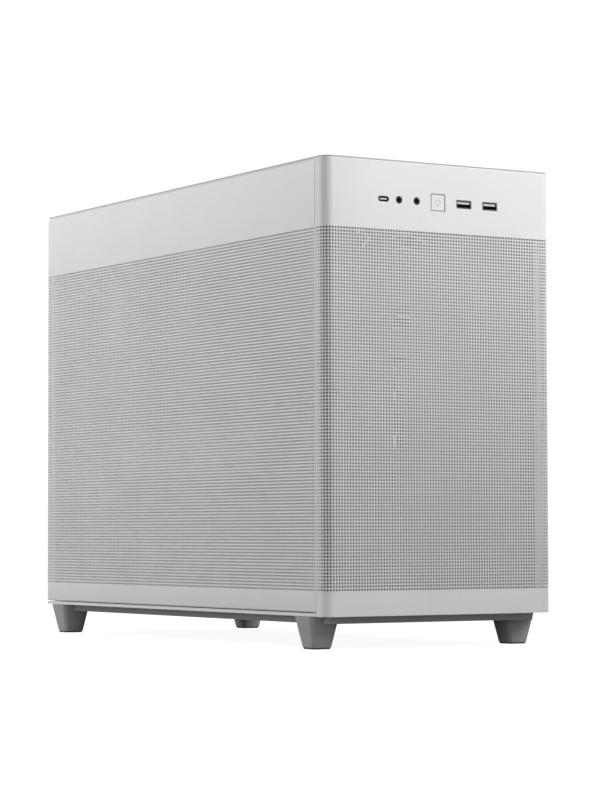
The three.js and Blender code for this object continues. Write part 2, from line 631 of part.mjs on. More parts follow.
// ---------------------------------------------------------------- graphics card
const CARD = {
  x: [-48, ON_BOARD - 12],
  y: [BOARD_REAR - 262, BOARD_REAR - 4],
  top: SLOT_Z + 0.8,
};
const CARD_FANS_Y = [BOARD_REAR - 195, BOARD_REAR - 92];
const CARD_FAN_RADIUS = 44;
function graphicsCard() {
  const { x, y, top } = CARD;
  const [thick, wall, deep] = [1.6, 2, 40];
  const bottom = top - deep;
  const boardLow = top - thick;
  const middleX = (x[0] + x[1]) / 2;
  piece(root, "gpu_board", block(x, y, [boardLow, top]), CIRCUIT_BOARD);
  const finsTop = boardLow - GAP;
  const finsLow = bottom + 16;
  const fins = block([x[0] + 4, x[1] - 4], [y[0] + 4, y[1] - 4], [finsLow, finsTop]);
  piece(root, "gpu_heatsink", fins, ALUMINIUM);
  const outer = block([x[0] - 1, x[1] + 0.6], [y[0] - 1, y[1] + 1], [bottom, finsTop - 1]);
  const inner = block([x[0] + wall, x[1] - wall], [y[0] + wall, y[1] - wall], [bottom + wall, top]);
  const holeRadius = CARD_FAN_RADIUS + 1.5;
  const holes = CARD_FANS_Y.map((cy) => rod(holeRadius, 8, "z", [middleX, cy, bottom - 3], 28));
  piece(root, "gpu_shroud", shape([outer], [inner, ...holes]), WHITE_PLASTIC);
  CARD_FANS_Y.forEach((cy, i) => {
    const rotor = rotorGeometry(17, CARD_FAN_RADIUS, 11, 9, 24);
    piece(root, `gpu_fan_${i + 1}`, rotor, WHITE_PLASTIC, [middleX, cy, bottom + 1.5]);
  });
  const bracketY = [REAR_SHEET - 1.6, REAR_SHEET - 0.8];
  const bracketZ = [SLOT_Z - 1.45 * SLOT_PITCH, SLOT_Z + 9.2];
  const plate = block([TAB_X, BOARD_FACE - 1.5], bracketY, bracketZ);
  const tab = block([TAB_X - 0.8, TAB_X], [bracketY[0], REAR - 1], bracketZ);
  const ports = [0, 1, 2].map((i) => {
    const px = -30 + i * 26;
    return block([px, px + 17], [bracketY[0] - 1, bracketY[1] + 1], [SLOT_Z - 8, SLOT_Z - 2.5]);
  });
  piece(root, "gpu_bracket", shape([plate, tab], ports), BARE_STEEL);
}

function slotCovers() {
  const y = [REAR_SHEET - 1.6, REAR_SHEET - 0.8];
  for (const i of [2, 3]) {
    const z = SLOT_Z - i * SLOT_PITCH;
    const plate = block([TAB_X, BOARD_FACE - 1.5], y, [z - 9.2, z + 9.2]);
    const tab = block([TAB_X - 0.8, TAB_X], [y[0], REAR - 1], [z - 9.2, z + 9.2]);
    piece(root, `slot_cover_${i - 1}`, shape([plate, tab]), WHITE_STEEL);
  }
}

// ---------------------------------------------------------------- power supply
const PSU = { x: [-92, 58], y: [PLATE_Y + 6, PLATE_Y + 92], z: [CASE_HEIGHT - 164, CASE_HEIGHT - 14] };
const PSU_SOCKET = { x: -62, y: -150 };
const ROCKER = { x: -34, y: -150, width: 12, length: 19, rest: 7 };
function powerSupply() {
  const { x, y, z } = PSU;
  const wall = 1.2;
  const middle = [(x[0] + x[1]) / 2, (z[0] + z[1]) / 2];
  const fanRadius = 66;
  const fanSpace = block([x[0] + wall, x[1] - wall], [y[0] + wall, y[0] + 30], [z[0] + 9, z[1] - wall]);
  const mouth = rod(fanRadius, 6, "y", [middle[0], y[0] - 2, middle[1]], 32);
  const inletHole = block(
    [PSU_SOCKET.x - 13.5, PSU_SOCKET.x + 13.5],
    [PSU_SOCKET.y - 10, PSU_SOCKET.y + 10],
    [z[0] - 1, z[0] + 12],
  );
  const rockerHole = block(
    [ROCKER.x - ROCKER.width / 2 - 0.6, ROCKER.x + ROCKER.width / 2 + 0.6],
    [ROCKER.y - ROCKER.length / 2 - 1.2, ROCKER.y + ROCKER.length / 2 + 1.2],
    [z[0] - 1, z[0] + 9],
  );
  const housing = shape([block(x, y, z)], [fanSpace, mouth, inletHole, rockerHole]);
  piece(root, "psu_housing", housing, GREY_STEEL);
  piece(
    root,
    "psu_fan_rotor",
    rotorGeometry(22, 60, 19, 7, 38).rotateX(Math.PI / 2),
    BLACK_PLASTIC,
    [middle[0], y[0] + 26, middle[1]],
  );

  // Wire guard: two rings and a cross in front of the fan.
  const [wire, guardY] = [1.6, y[0] - 2.2];
  const ring = (outer, inner) =>
    geometryOf(
      solid(rod(outer, wire, "y", [middle[0], guardY, middle[1]], 24)).subtract(
        solid(rod(inner, wire + 2, "y", [middle[0], guardY - 1, middle[1]], 24)),
      ),
    );
  const about = (centre, half) => [centre - half, centre + half];
  const bars = [
    block(about(middle[0], 68), [guardY, guardY + wire], about(middle[1], 1.2)),
    block(about(middle[0], 1.2), [guardY, guardY + wire], about(middle[1], 68)),
  ];
  const disc = rod(20, wire, "y", [middle[0], guardY, middle[1]], 20);
  piece(root, "psu_fan_guard", shape([ring(68, 65.6), ring(45, 42.6), disc, ...bars]), BARE_STEEL);

  // A rocker with a shallow V face, resting with one end pressed, hinged on the middle of its recess.
  const [halfLength, halfWidth] = [ROCKER.length / 2, ROCKER.width / 2];
  const profile = new THREE.Shape();
  profile.moveTo(-halfLength, -3.6);
  profile.lineTo(0, -1.8);
  profile.lineTo(halfLength, -3.6);
  profile.lineTo(halfLength - 1.5, 2.2);
  profile.lineTo(1.5 - halfLength, 2.2);
  profile.closePath();
  const rocker = raise(profile, ROCKER.width).rotateX(Math.PI / 2).rotateZ(Math.PI / 2);
  rocker.translate(-halfWidth, 0, 0).rotateX(THREE.MathUtils.degToRad(ROCKER.rest));
  piece(root, "psu_rocker", rocker, BLACK_PLASTIC, [ROCKER.x, ROCKER.y, z[0] + 4]);
}

function psuBracket() {
  const [reach, wall] = [INNER_X - 1.3, SHEET];
  const top = PSU.z[0] - GAP;
  const shelf = block([-reach, reach], [PSU.y[0], PSU.y[1]], [top - wall, top]);
  const ears = [-1, 1].map((side) => {
    const x = ordered(side * (reach - wall), side * reach);
    return block(x, [PSU.y[0] + 10, PSU.y[1] - 10], [top - wall, top + 46]);
  });
  const window = ({ x, y }, halfX, halfY) =>
    block([x - halfX, x + halfX], [y - halfY, y + halfY], [top - 5, top + 5]);
  const windows = [window(PSU_SOCKET, 14.5, 11), window(ROCKER, 8, 12)];
  piece(root, "psu_bracket", shape([shelf, ...ears], windows), GREY_STEEL);
}

// ---------------------------------------------------------------- mains inlet and internal leads
const LEAD_RADIUS = 3.5;
const LEAD_Z = PAN_TOP + 8;
function mainsLead() {
  const { x, z, width, height } = INLET;
  const [w, h] = [width / 2, height / 2];
  const outside = REAR_SHEET + SHEET;
  const flange = block([x - w - 8, x + w + 8], [outside + 0.2, outside + 2.6], [z - h - 2, z + h + 2]);
  const body = block([x - w, x + w], [REAR_SHEET - 18, outside + 1], [z - h, z + h]);
  const mouth = block([x - w + 2, x + w - 2], [REAR_SHEET - 14, REAR], [z - h + 2, z + h - 2]);
  const pin = (dx, dz) =>
    block([x + dx - 1, x + dx + 1], [REAR_SHEET - 15, REAR_SHEET - 1], [z + dz - 1.6, z + dz + 1.6]);
  const hollow = geometryOf(solid(flange).add(solid(body)).subtract(solid(mouth)));
  piece(root, "rear_power_inlet", shape([hollow, pin(-7, -1), pin(0, -4.5), pin(7, -1)]), BLACK_PLASTIC);

  // From the inlet's back, down to the floor, forward along it and up into the power supply.
  const start = REAR_SHEET - 18 - GAP;
  const route = new THREE.CatmullRomCurve3(
    [
      [x, start, z],
      [x, start - 14, z],
      [x - 3, start - 34, LEAD_Z + 6],
      [x - 6, start - 56, LEAD_Z],
      [x - 8, 40, LEAD_Z],
      [x - 8, -80, LEAD_Z],
      [x - 7, -118, LEAD_Z + 3],
      [x - 2, -142, LEAD_Z + 26],
      [PSU_SOCKET.x, PSU_SOCKET.y, LEAD_Z + 60],
      [PSU_SOCKET.x, PSU_SOCKET.y, PSU.z[0] - 30],
    ].map((p) => new THREE.Vector3(...p)),
  );
  const section = new THREE.Shape(
    Array.from({ length: 8 }, (_, i) => {
      const a = (i / 8) * 2 * Math.PI;
      return new THREE.Vector2(LEAD_RADIUS * Math.cos(a), LEAD_RADIUS * Math.sin(a));
    }),
  );
  const tube = new THREE.ExtrudeGeometry(section, { steps: 34, extrudePath: route });
  const plugLow = PSU.z[0] - 30.4;
  const plug = block(
    [PSU_SOCKET.x - 12, PSU_SOCKET.x + 12],
    [PSU_SOCKET.y - 8, PSU_SOCKET.y + 8],
    [plugLow, PSU.z[0] + 8],
  );
  piece(root, "mains_lead", shape([tube, plug]), BLACK_PLASTIC);
}

// The sleeved bundle from the power supply's back to the connector at the board's front edge.
function boardLead() {
  const z = BOARD_TOP - 76;
  const plugY = [BOARD_FRONT + 3, BOARD_FRONT + 13];
  const plug = block([ON_BOARD - 26, ON_BOARD], plugY, [z - 26, z + 26]);
  const route = new THREE.CatmullRomCurve3(
    [
      [38, PSU.y[1] + GAP, z + 16],
      [38, PSU.y[1] + 12, z + 16],
      [36, PSU.y[1] + 34, z + 10],
      [30, BOARD_FRONT - 28, z + 2],
      [30, BOARD_FRONT - 4, z],
      [36, BOARD_FRONT + 8, z],
      [ON_BOARD - 25, BOARD_FRONT + 8, z],
    ].map((p) => new THREE.Vector3(...p)),
  );
  const section = new THREE.Shape(
    Array.from({ length: 8 }, (_, i) => {
      const a = ((i + 0.5) / 8) * 2 * Math.PI;
      return new THREE.Vector2(11 * Math.cos(a), 4 * Math.sin(a));
    }),
  );
  const tube = new THREE.ExtrudeGeometry(section, { steps: 22, extrudePath: route });
  piece(root, "board_power_lead", shape([tube, plug]), SLEEVE);
}

function solidStateDrive() {
  const x = [TRAY_X + SHEET + 0.4, TRAY_X + SHEET + 7.4];
  piece(root, "sata_drive", block(x, [-24, 76], [110, 179.8]), ALUMINIUM);
}

// ---------------------------------------------------------------- the whole tower
basePan();
baseSkirt();
bottomFilter();
for (const [name, at] of Object.entries(FEET)) foot(name, at);
rearPanel();
inletPlate();
motherboardTray();
frontPlate();
topRail("top_rail_left", -1);
topRail("top_rail_right", 1);
frontPanel();
sidePanel("left_side_panel", -1);
sidePanel("right_side_panel", 1);
topPanel();
frontSockets();
rearFan();
mainBoard();
rearSockets();
cooler();
graphicsCard();
slotCovers();
powerSupply();
psuBracket();
mainsLead();
boardLead();
solidStateDrive();

export default root;
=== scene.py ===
import json
import math

import bmesh
import bpy
import numpy as np
from mathutils import Matrix, Vector


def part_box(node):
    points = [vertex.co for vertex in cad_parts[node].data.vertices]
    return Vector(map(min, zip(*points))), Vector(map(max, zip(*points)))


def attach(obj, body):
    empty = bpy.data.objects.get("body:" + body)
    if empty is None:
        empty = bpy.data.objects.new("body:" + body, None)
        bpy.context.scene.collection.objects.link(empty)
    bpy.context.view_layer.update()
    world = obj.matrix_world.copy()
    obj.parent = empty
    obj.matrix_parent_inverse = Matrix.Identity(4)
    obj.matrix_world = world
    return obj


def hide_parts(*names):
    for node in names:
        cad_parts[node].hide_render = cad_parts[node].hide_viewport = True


# A compact white desktop tower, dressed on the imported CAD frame. The front faces -Y, +Z is up and
# the access side is -X. All lengths are millimetres unless a name says otherwise.
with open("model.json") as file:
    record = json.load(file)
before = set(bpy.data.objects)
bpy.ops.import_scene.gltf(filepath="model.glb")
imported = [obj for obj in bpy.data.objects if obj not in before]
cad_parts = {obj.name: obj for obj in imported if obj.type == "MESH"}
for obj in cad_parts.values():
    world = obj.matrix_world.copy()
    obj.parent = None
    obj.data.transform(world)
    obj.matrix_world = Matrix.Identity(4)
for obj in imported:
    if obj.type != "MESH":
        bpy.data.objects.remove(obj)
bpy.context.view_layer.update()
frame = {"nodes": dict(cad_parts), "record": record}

# ---------------------------------------------------------------- driving dimensions
MM = 0.001
CASE_WIDTH = 205
CASE_DEPTH = 460
CASE_HEIGHT = 363
CORNER_RADIUS = 8  # upright front corners
BODY_BOTTOM = 24.5
COVER_TOP = 361.1  # top edge of the front and side covers
SIDE_LOW = 27.6  # lower edge of the side covers
SEAM = -216.8  # between the front cover and the side covers
SEAM_WIDTH = 0.6
SKIN = 0.6  # thickness of the perforated sheet
HOLE_PITCH = 2.44
HOLE_RADIUS = 0.88
HOLES_LOW = 42.8  # lower edge of the perforation
HOLE_ROWS = 110
FRONT_FIELDS = (30, 31, 30)  # columns of holes in each field round the front, from seam to seam
SIDE_FIELDS = (46, 45, 45, 46)  # columns of holes in each field along a side
TOP_HOLES_ACROSS = 67
TOP_HOLES_ALONG = 168
TOP_SKIN = 1.7  # height of the top cover's rim
SOCKET_Z = 333.4  # the row of front sockets
SOCKET_ROW = 7.5  # half the height of the row of cells that holds them
REAR_FACE = 223.2  # outside of the rear sheet
BOARD_FACE = 68.2  # where parts on the main board begin; they stand towards -X
BOARD_TOP = 341
FIRST_SLOT_Z = 173
SLOT_PITCH = 20.32
DISPLAY_SOCKET_Z = 167.75
DISPLAY_SOCKET_FACE = 221.6

HALF_WIDTH = CASE_WIDTH / 2
FRONT = -CASE_DEPTH / 2
REAR = CASE_DEPTH / 2
HOLES_HIGH = HOLES_LOW + HOLE_ROWS * HOLE_PITCH

CAMERA_AT = (-1126, -1877, 86.4)
CAMERA_TURN = 31.32  # degrees to the right of straight ahead
CAMERA_TILT = 2.84
CAMERA_ROLL = -0.14
CAMERA_LENS = 119.8


# ---------------------------------------------------------------- camera
def make_camera():
    data = bpy.data.cameras.new("camera")
    data.lens = CAMERA_LENS
    data.sensor_width = 36
    data.clip_start = 0.01
    data.clip_end = 200
    camera = bpy.data.objects.new("camera", data)
    bpy.context.scene.collection.objects.link(camera)
    turn = Matrix.Rotation(math.radians(-CAMERA_TURN), 4, "Z")
    tilt = Matrix.Rotation(math.radians(90 + CAMERA_TILT), 4, "X")
    roll = Matrix.Rotation(math.radians(CAMERA_ROLL), 4, "Z")
    camera.matrix_world = Matrix.Translation(Vector(CAMERA_AT) * MM) @ turn @ tilt @ roll
    bpy.context.scene.camera = camera


make_camera()


# ---------------------------------------------------------------- finishes
def finish(name, colour, roughness, metallic=0.0, mottle=0.02, grain=900, relief=0.05, stretch=(1, 1, 1)):
    """A procedural finish: colour drifts by mottle, and a fine grain varies roughness and height.

    grain is in cycles per metre, and stretch above 1 along an axis makes the grain finer that way.
    """
    material = bpy.data.materials.new(name)
    material.use_nodes = True
    nodes, links = material.node_tree.nodes, material.node_tree.links
    shader = nodes["Principled BSDF"]
    shader.inputs["Metallic"].default_value = metallic
    place = nodes.new("ShaderNodeTexCoord")
    mapping = nodes.new("ShaderNodeMapping")
    mapping.inputs["Scale"].default_value = stretch
    links.new(place.outputs["Object"], mapping.inputs["Vector"])

    drift = nodes.new("ShaderNodeTexNoise")
    drift.inputs["Scale"].default_value = 18
    drift.inputs["Detail"].default_value = 4
    links.new(place.outputs["Object"], drift.inputs["Vector"])
    ramp = nodes.new("ShaderNodeValToRGB")
    ramp.color_ramp.elements[0].position = 0.3
    ramp.color_ramp.elements[1].position = 0.7
    ramp.color_ramp.elements[0].color = (*[c * (1 - mottle) for c in colour], 1)
    ramp.color_ramp.elements[1].color = (*[min(1, c * (1 + mottle)) for c in colour], 1)
    links.new(drift.outputs["Fac"], ramp.inputs["Fac"])
    links.new(ramp.outputs["Color"], shader.inputs["Base Color"])

    fine = nodes.new("ShaderNodeTexNoise")
    fine.inputs["Scale"].default_value = grain
    fine.inputs["Detail"].default_value = 2
    links.new(mapping.outputs["Vector"], fine.inputs["Vector"])
    spread = nodes.new("ShaderNodeMapRange")
    spread.inputs["To Min"].default_value = roughness - 0.06
    spread.inputs["To Max"].default_value = roughness + 0.06
    links.new(fine.outputs["Fac"], spread.inputs["Value"])
    links.new(spread.outputs["Result"], shader.inputs["Roughness"])
    bump = nodes.new("ShaderNodeBump")
    bump.inputs["Strength"].default_value = relief
    bump.inputs["Distance"].default_value = 0.0002
    links.new(fine.outputs["Fac"], bump.inputs["Height"])
    links.new(bump.outputs["Normal"], shader.inputs["Normal"])
    return material


def woven(name, colour, roughness):
    """A braided sleeve: diagonal bands lift the base finish in relief."""
    material = finish(name, colour, roughness, mottle=0.05, grain=600, relief=0.2)
    nodes, links = material.node_tree.nodes, material.node_tree.links
    place = nodes["Texture Coordinate"]
    bump = nodes["Bump"]
    waves = nodes.new("ShaderNodeTexWave")
    waves.inputs["Scale"].default_value = 400
    waves.bands_direction = "DIAGONAL"
    links.new(place.outputs["Object"], waves.inputs["Vector"])
    cloth = nodes.new("ShaderNodeBump")
    cloth.inputs["Strength"].default_value = 0.5
    cloth.inputs["Distance"].default_value = 0.0004
    links.new(waves.outputs["Fac"], cloth.inputs["Height"])
    links.new(bump.outputs["Normal"], cloth.inputs["Normal"])
    links.new(cloth.outputs["Normal"], nodes["Principled BSDF"].inputs["Normal"])
    return material


FINISHES = {
    "white_steel": finish("powder_coat", (0.80, 0.80, 0.795), 0.55, grain=2200, relief=0.12),
    # grey_steel is the white powder coat made dark for the inner frame seen through the perforation: painted
    # shade for the dim inside of the case
    "grey_steel": finish("grey_powder_coat", (0.15, 0.15, 0.152), 0.55, grain=2200, relief=0.12),
    "white_perforated": finish("powder_coat_sheet", (0.80, 0.80, 0.795), 0.55, grain=2200, relief=0.1),
    "grey_plastic": finish("grey_moulding", (0.44, 0.43, 0.433), 0.6, mottle=0.06, relief=0.25),
    "black_plastic": finish("black_moulding", (0.014, 0.014, 0.015), 0.5, mottle=0.15, relief=0.2),
    "white_plastic": finish("white_moulding", (0.78, 0.78, 0.775), 0.42, grain=1400, relief=0.08),
    "bare_steel": finish(
        "plated_steel", (0.55, 0.56, 0.57), 0.34, metallic=0.95, mottle=0.06, stretch=(1, 1, 6)
    ),
    "aluminium": finish(
        "brushed_aluminium", (0.66, 0.67, 0.68), 0.36, metallic=0.9, mottle=0.05, stretch=(8, 1, 1)
    ),
    "circuit_board": finish("white_circuit_board", (0.60, 0.61, 0.605), 0.45, mottle=0.12, relief=0.1),
    "sleeve": woven("white_braid", (0.62, 0.62, 0.615), 0.8),
}
DARK = finish("socket_black", (0.012, 0.012, 0.013), 0.45, mottle=0.2, relief=0.1)
TONGUE = finish("socket_tongue", (0.6, 0.6, 0.6), 0.4, relief=0.05)
RUBBER = finish("rubber_pad", (0.09, 0.09, 0.092), 0.85, mottle=0.15, relief=0.3)
MESH_GREY = finish("filter_mesh", (0.05, 0.05, 0.052), 0.7, mottle=0.15, relief=0.3)
GOLD = finish("gold_contact", (0.72, 0.5, 0.2), 0.28, metallic=1.0, mottle=0.05)
MARK = finish("grey_print", (0.46, 0.46, 0.465), 0.5, relief=0.05)
COPPER = finish("copper_pipe", (0.62, 0.62, 0.61), 0.3, metallic=0.95, mottle=0.05)
SOFT_PINK = finish("pink_ring", (0.55, 0.2, 0.26), 0.45)
SOFT_GREEN = finish("green_ring", (0.2, 0.42, 0.22), 0.45)
SOFT_BLUE = finish("blue_ring", (0.16, 0.3, 0.52), 0.45)


# ---------------------------------------------------------------- outlines
CORNERS = [(-1, -1), (-1, 1), (1, -1), (1, 1)]


def polar(centre, radius, turn):
    return centre[0] + radius * math.cos(turn), centre[1] + radius * math.sin(turn)


def circle(radius, sides, centre=(0, 0)):
    return [polar(centre, radius, 2 * math.pi * (k + 0.5) / sides) for k in range(sides)]


def rounded(width, height, radius, steps, centre=(0, 0)):
    """A rectangle with round corners, anticlockwise."""
    points = []
    for quarter in range(4):
        sx, sy = [(1, 1), (-1, 1), (-1, -1), (1, -1)][quarter]
        cx, cy = sx * (width / 2 - radius), sy * (height / 2 - radius)
        for k in range(steps + 1):
            turn = math.pi / 2 * (quarter + k / steps)
            x = centre[0] + cx + radius * math.cos(turn)
            points.append((x, centre[1] + cy + radius * math.sin(turn)))
    return points


def cover_outline(inset, back):
    """The case in plan, inset from its faces: round front corners and a straight back at y = back."""
    steps = 6
    half = HALF_WIDTH - inset
    radius = CORNER_RADIUS - inset
    points = [(half, back), (-half, back)]
    for side, start in ((-1, math.pi), (1, 1.5 * math.pi)):
        for k in range(steps + 1):
            turn = start + math.pi / 2 * k / steps
            x = side * (HALF_WIDTH - CORNER_RADIUS) + radius * math.cos(turn)
            points.append((x, FRONT + CORNER_RADIUS + radius * math.sin(turn)))
    return points


# ---------------------------------------------------------------- solids
class Shell:
    """Closed solids gathered into one piece."""

    def __init__(self):
        self.points = []
        self.faces = []

    def add(self, points, faces):
        first = len(self.points)
        self.points += [tuple(p) for p in points]
        self.faces += [tuple(first + i for i in face) for face in faces]
        return self

    def box(self, x, y, z):
        points = [(a, b, c) for a in sorted(x) for b in sorted(y) for c in sorted(z)]
        faces = [(0, 1, 3, 2), (4, 6, 7, 5), (0, 4, 5, 1), (2, 3, 7, 6), (0, 2, 6, 4), (1, 5, 7, 3)]
        return self.add(points, faces)

    def loft(self, rings, closed=False):
        """Rings of points joined in order. The ends are capped, or joined to each other if closed."""
        n = len(rings[0])
        faces = []
        for r in range(len(rings) if closed else len(rings) - 1):
            a, b = r * n, (r + 1) % len(rings) * n
            faces += [(a + k, a + (k + 1) % n, b + (k + 1) % n, b + k) for k in range(n)]
        if not closed:
            end = (len(rings) - 1) * n
            faces += [tuple(range(n))[::-1], tuple(range(end, end + n))]
        return self.add([p for ring in rings for p in ring], faces)

    def prism(self, outline, low, high, axis="z"):
        return self.loft([lift(outline, low, axis), lift(outline, high, axis)])

    def rod(self, radius, low, high, axis, centre, sides):
        return self.prism(circle(radius, sides, centre), low, high, axis)

    def ring(self, outer, inner, low, high, axis="z"):
        """The band between two outlines that have the same number of points."""
        around = ((outer, low), (outer, high), (inner, high), (inner, low))
        return self.loft([lift(outline, height, axis) for outline, height in around], closed=True)

    def wire(self, path, radius, sides):
        """A round section carried along a path."""
        path = [Vector(p) for p in path]
        rings = []
        for k, point in enumerate(path):
            along = (path[min(k + 1, len(path) - 1)] - path[max(k - 1, 0)]).normalized()
            across = along.cross((0.0, 0.3, 1.0) if abs(along.z) < 0.9 else (1.0, 0.0, 0.0)).normalized()
            up = across.cross(along)
            turns = [2 * math.pi * s / sides for s in range(sides)]
            rings.append([point + radius * (across * math.cos(t) + up * math.sin(t)) for t in turns])
        return self.loft(rings)


def lift(outline, height, axis):
    """A flat outline set at a height along an axis."""
    if axis == "z":
        return [(a, b, height) for a, b in outline]
    if axis == "y":
        return [(a, height, b) for a, b in outline]
    return [(height, a, b) for a, b in outline]


def smooth_path(points, steps=8):
    """A rounded run through the given points."""
    points = [Vector(p) for p in points]
    ends = [2 * points[0] - points[1], *points, 2 * points[-1] - points[-2]]
    path = []
    for k in range(1, len(ends) - 2):
        a, b, c, d = ends[k - 1 : k + 3]
        for s in range(steps):
            t = s / steps
            bend = (2 * a - 5 * b + 4 * c - d) * t**2 + (3 * b - a - 3 * c + d) * t**3
            path.append(0.5 * (2 * b + (c - a) * t + bend))
    return [*path, points[-1]]


def settle(obj, material, body, replaced, slot):
    """Gives a piece its finish and the body that it moves with."""
    obj.data.materials.append(material)
    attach(obj, body)
    if replaced:
        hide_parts(*replaced)
    return obj


def build(name, shell, look, body="chassis", replaced=(), bevel=0, smooth=32):
    """A piece from a shell. look is a material, or the name of one of the record's slots."""
    mesh = bpy.data.meshes.new(name)
    mesh.from_pydata([Vector(p) * MM for p in shell.points], [], shell.faces)
    work = bmesh.new()
    work.from_mesh(mesh)
    bmesh.ops.recalc_face_normals(work, faces=work.faces)
    work.to_mesh(mesh)
    work.free()
    mesh.shade_smooth()
    mesh.set_sharp_from_angle(angle=math.radians(smooth))
    obj = bpy.data.objects.new(name, mesh)
    bpy.context.scene.collection.objects.link(obj)
    if bevel:
        soften(obj, bevel)
    slot = look if isinstance(look, str) else None
    return settle(obj, FINISHES[look] if slot else look, body, replaced, slot)


def soften(obj, width):
    """Rounds a piece's sharp edges."""
    edge = obj.modifiers.new("soft_edges", "BEVEL")
    edge.width = width * MM
    edge.segments = 2
    edge.limit_method = "ANGLE"
    edge.angle_limit = math.radians(40)
    edge.harden_normals = True


def span(node):
    """A CAD node's x, y and z ranges."""
    low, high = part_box(node)
    return [(low[i] / MM, high[i] / MM) for i in range(3)]


def middle(limits):
    return (limits[0] + limits[1]) / 2


def front_middle(node):
    """The middle of a CAD node in x and z."""
    across, _, high = span(node)
    return middle(across), middle(high)


# ---------------------------------------------------------------- perforated sheets
def cell_pattern(outline):
    """Triangles between a cell's corners, numbered 0 to 3, and the outline in it, numbered from 4."""
    n = len(outline)
    nearest = []
    for k in range(n):
        x, y = (np.array(outline[k]) + outline[(k + 1) % n]) / 2
        nearest.append((2 if y > 0 else 1) if x > 0 else (3 if y > 0 else 0))
    triangles = []
    for k in range(n):
        triangles.append((nearest[k], 4 + (k + 1) % n, 4 + k))
        if nearest[k] != nearest[k - 1]:
            triangles.append((nearest[k - 1], nearest[k], 4 + k))
    return np.array(triangles)


def thick_sheet(name, columns, rows, openings, place, body, replaced=(), thick=SKIN, smooth=True, look=None):
    """A closed sheet over a grid of cells.

    columns and rows are the grid's lines. openings lists (cells, outline): the (column, row) pairs
    whose cell has that outline cut out of its middle. place(u, v, depth) gives x, y and z.
    """
    columns, rows = np.asarray(columns, float), np.asarray(rows, float)
    across, up = len(columns), len(rows)
    u, v = np.meshgrid(columns, rows)
    flat = [np.stack([u.ravel(), v.ravel()], 1)]
    count = across * up
    plain = np.ones((across - 1, up - 1), bool)
    triangles, rims = [np.empty((0, 3), int)], [np.empty((0, 2), int)]
    for cells, outline in openings:
        i, j = np.asarray(cells).T
        outline = np.asarray(outline)
        plain[i, j] = False
        centre = np.stack([columns[i] + columns[i + 1], rows[j] + rows[j + 1]], 1) / 2
        flat.append((centre[:, None] + outline[None]).reshape(-1, 2))
        ring = count + np.arange(len(i) * len(outline)).reshape(len(i), -1)
        first = j * across + i
        corners = np.stack([first, first + 1, first + across + 1, first + across], 1)
        cell = np.concatenate([corners, ring], 1)
        triangles.append(cell[:, cell_pattern(outline)].reshape(-1, 3))
        rims.append(np.stack([ring, np.roll(ring, -1, 1)], 2).reshape(-1, 2))
        count += ring.size
    i, j = np.nonzero(plain)
    first = j * across + i
    quads = np.stack([first, first + 1, first + across + 1, first + across], 1)
    around = [
        np.arange(across),
        across * np.arange(1, up) + across - 1,
        across * up - 2 - np.arange(across - 1),
        across * (up - 2 - np.arange(up - 1)),
    ]
    border = np.concatenate(around)
    edges = np.stack([border[:-1], border[1:]], 1)
    flat = np.concatenate(flat)
    triangles, rims = np.concatenate(triangles), np.concatenate(rims)
    back = len(flat)
    hole_walls = np.concatenate([rims, rims[:, ::-1] + back], 1)
    edge_walls = np.concatenate([edges[:, ::-1], edges + back], 1)
    points = np.concatenate([place(*flat.T, 0), place(*flat.T, thick)])
    threes = np.concatenate([triangles, triangles[:, ::-1] + back])
    fours = np.concatenate([quads, quads[:, ::-1] + back, hole_walls, edge_walls])
    obj = array_mesh(name, points, threes, fours, smooth)
    slot = look or "white_perforated"
    return settle(obj, FINISHES[slot], body, replaced, slot)


def array_mesh(name, points, triangles, quads, smooth):
    """An object from arrays of points, triangles and quads."""
    mesh = bpy.data.meshes.new(name)
    corners = np.concatenate([triangles.ravel(), quads.ravel()]).astype(np.int32)
    three_starts = 3 * np.arange(len(triangles))
    four_starts = triangles.size + 4 * np.arange(len(quads))
    starts = np.concatenate([three_starts, four_starts]).astype(np.int32)
    mesh.vertices.add(len(points))
    mesh.vertices.foreach_set("co", (points * MM).astype(np.float32).ravel())
    mesh.loops.add(len(corners))
    mesh.loops.foreach_set("vertex_index", corners)
    mesh.polygons.add(len(starts))
    mesh.polygons.foreach_set("loop_start", starts)
    mesh.update(calc_edges=True)
    if smooth:
        mesh.shade_smooth()
        mesh.set_sharp_from_angle(angle=math.radians(35))
    obj = bpy.data.objects.new(name, mesh)
    bpy.context.scene.collection.objects.link(obj)
    return obj


def lines(start, count, pitch=HOLE_PITCH):
    """The lines of a run of equal cells."""
    return start + pitch * np.arange(count + 1)


def every_cell(columns, rows):
    return [(i, j) for i in range(columns) for j in range(rows)]


def perforated(name, fields, length, place, body, sides, replaced=()):
    """Fields of round holes side by side, with an equal plain margin before the first and after the last."""
    margin = (length - sum(fields) * HOLE_PITCH) / 2
    start = margin
    for k, columns in enumerate(fields):
        u = lines(start, columns)
        before = [u[0] - margin] if k == 0 else []
        after = [u[-1] + margin] if k == len(fields) - 1 else []
        cells = [(i + len(before), j) for i, j in every_cell(columns, HOLE_ROWS)]
        thick_sheet(
            f"{name}_mesh_{k + 1}",
            np.concatenate([before, u, after]),
            lines(HOLES_LOW, HOLE_ROWS),
            [(cells, circle(HOLE_RADIUS, sides))],
            place,
            body,
            replaced if k == 0 else (),
        )
        start += columns * HOLE_PITCH


# ---------------------------------------------------------------- front cover
STRAIGHT = SEAM - FRONT - CORNER_RADIUS  # from each seam forward to the round corner
BEND = CORNER_RADIUS * math.pi / 2
FACE = CASE_WIDTH - 2 * CORNER_RADIUS
AROUND = 2 * (STRAIGHT + BEND) + FACE


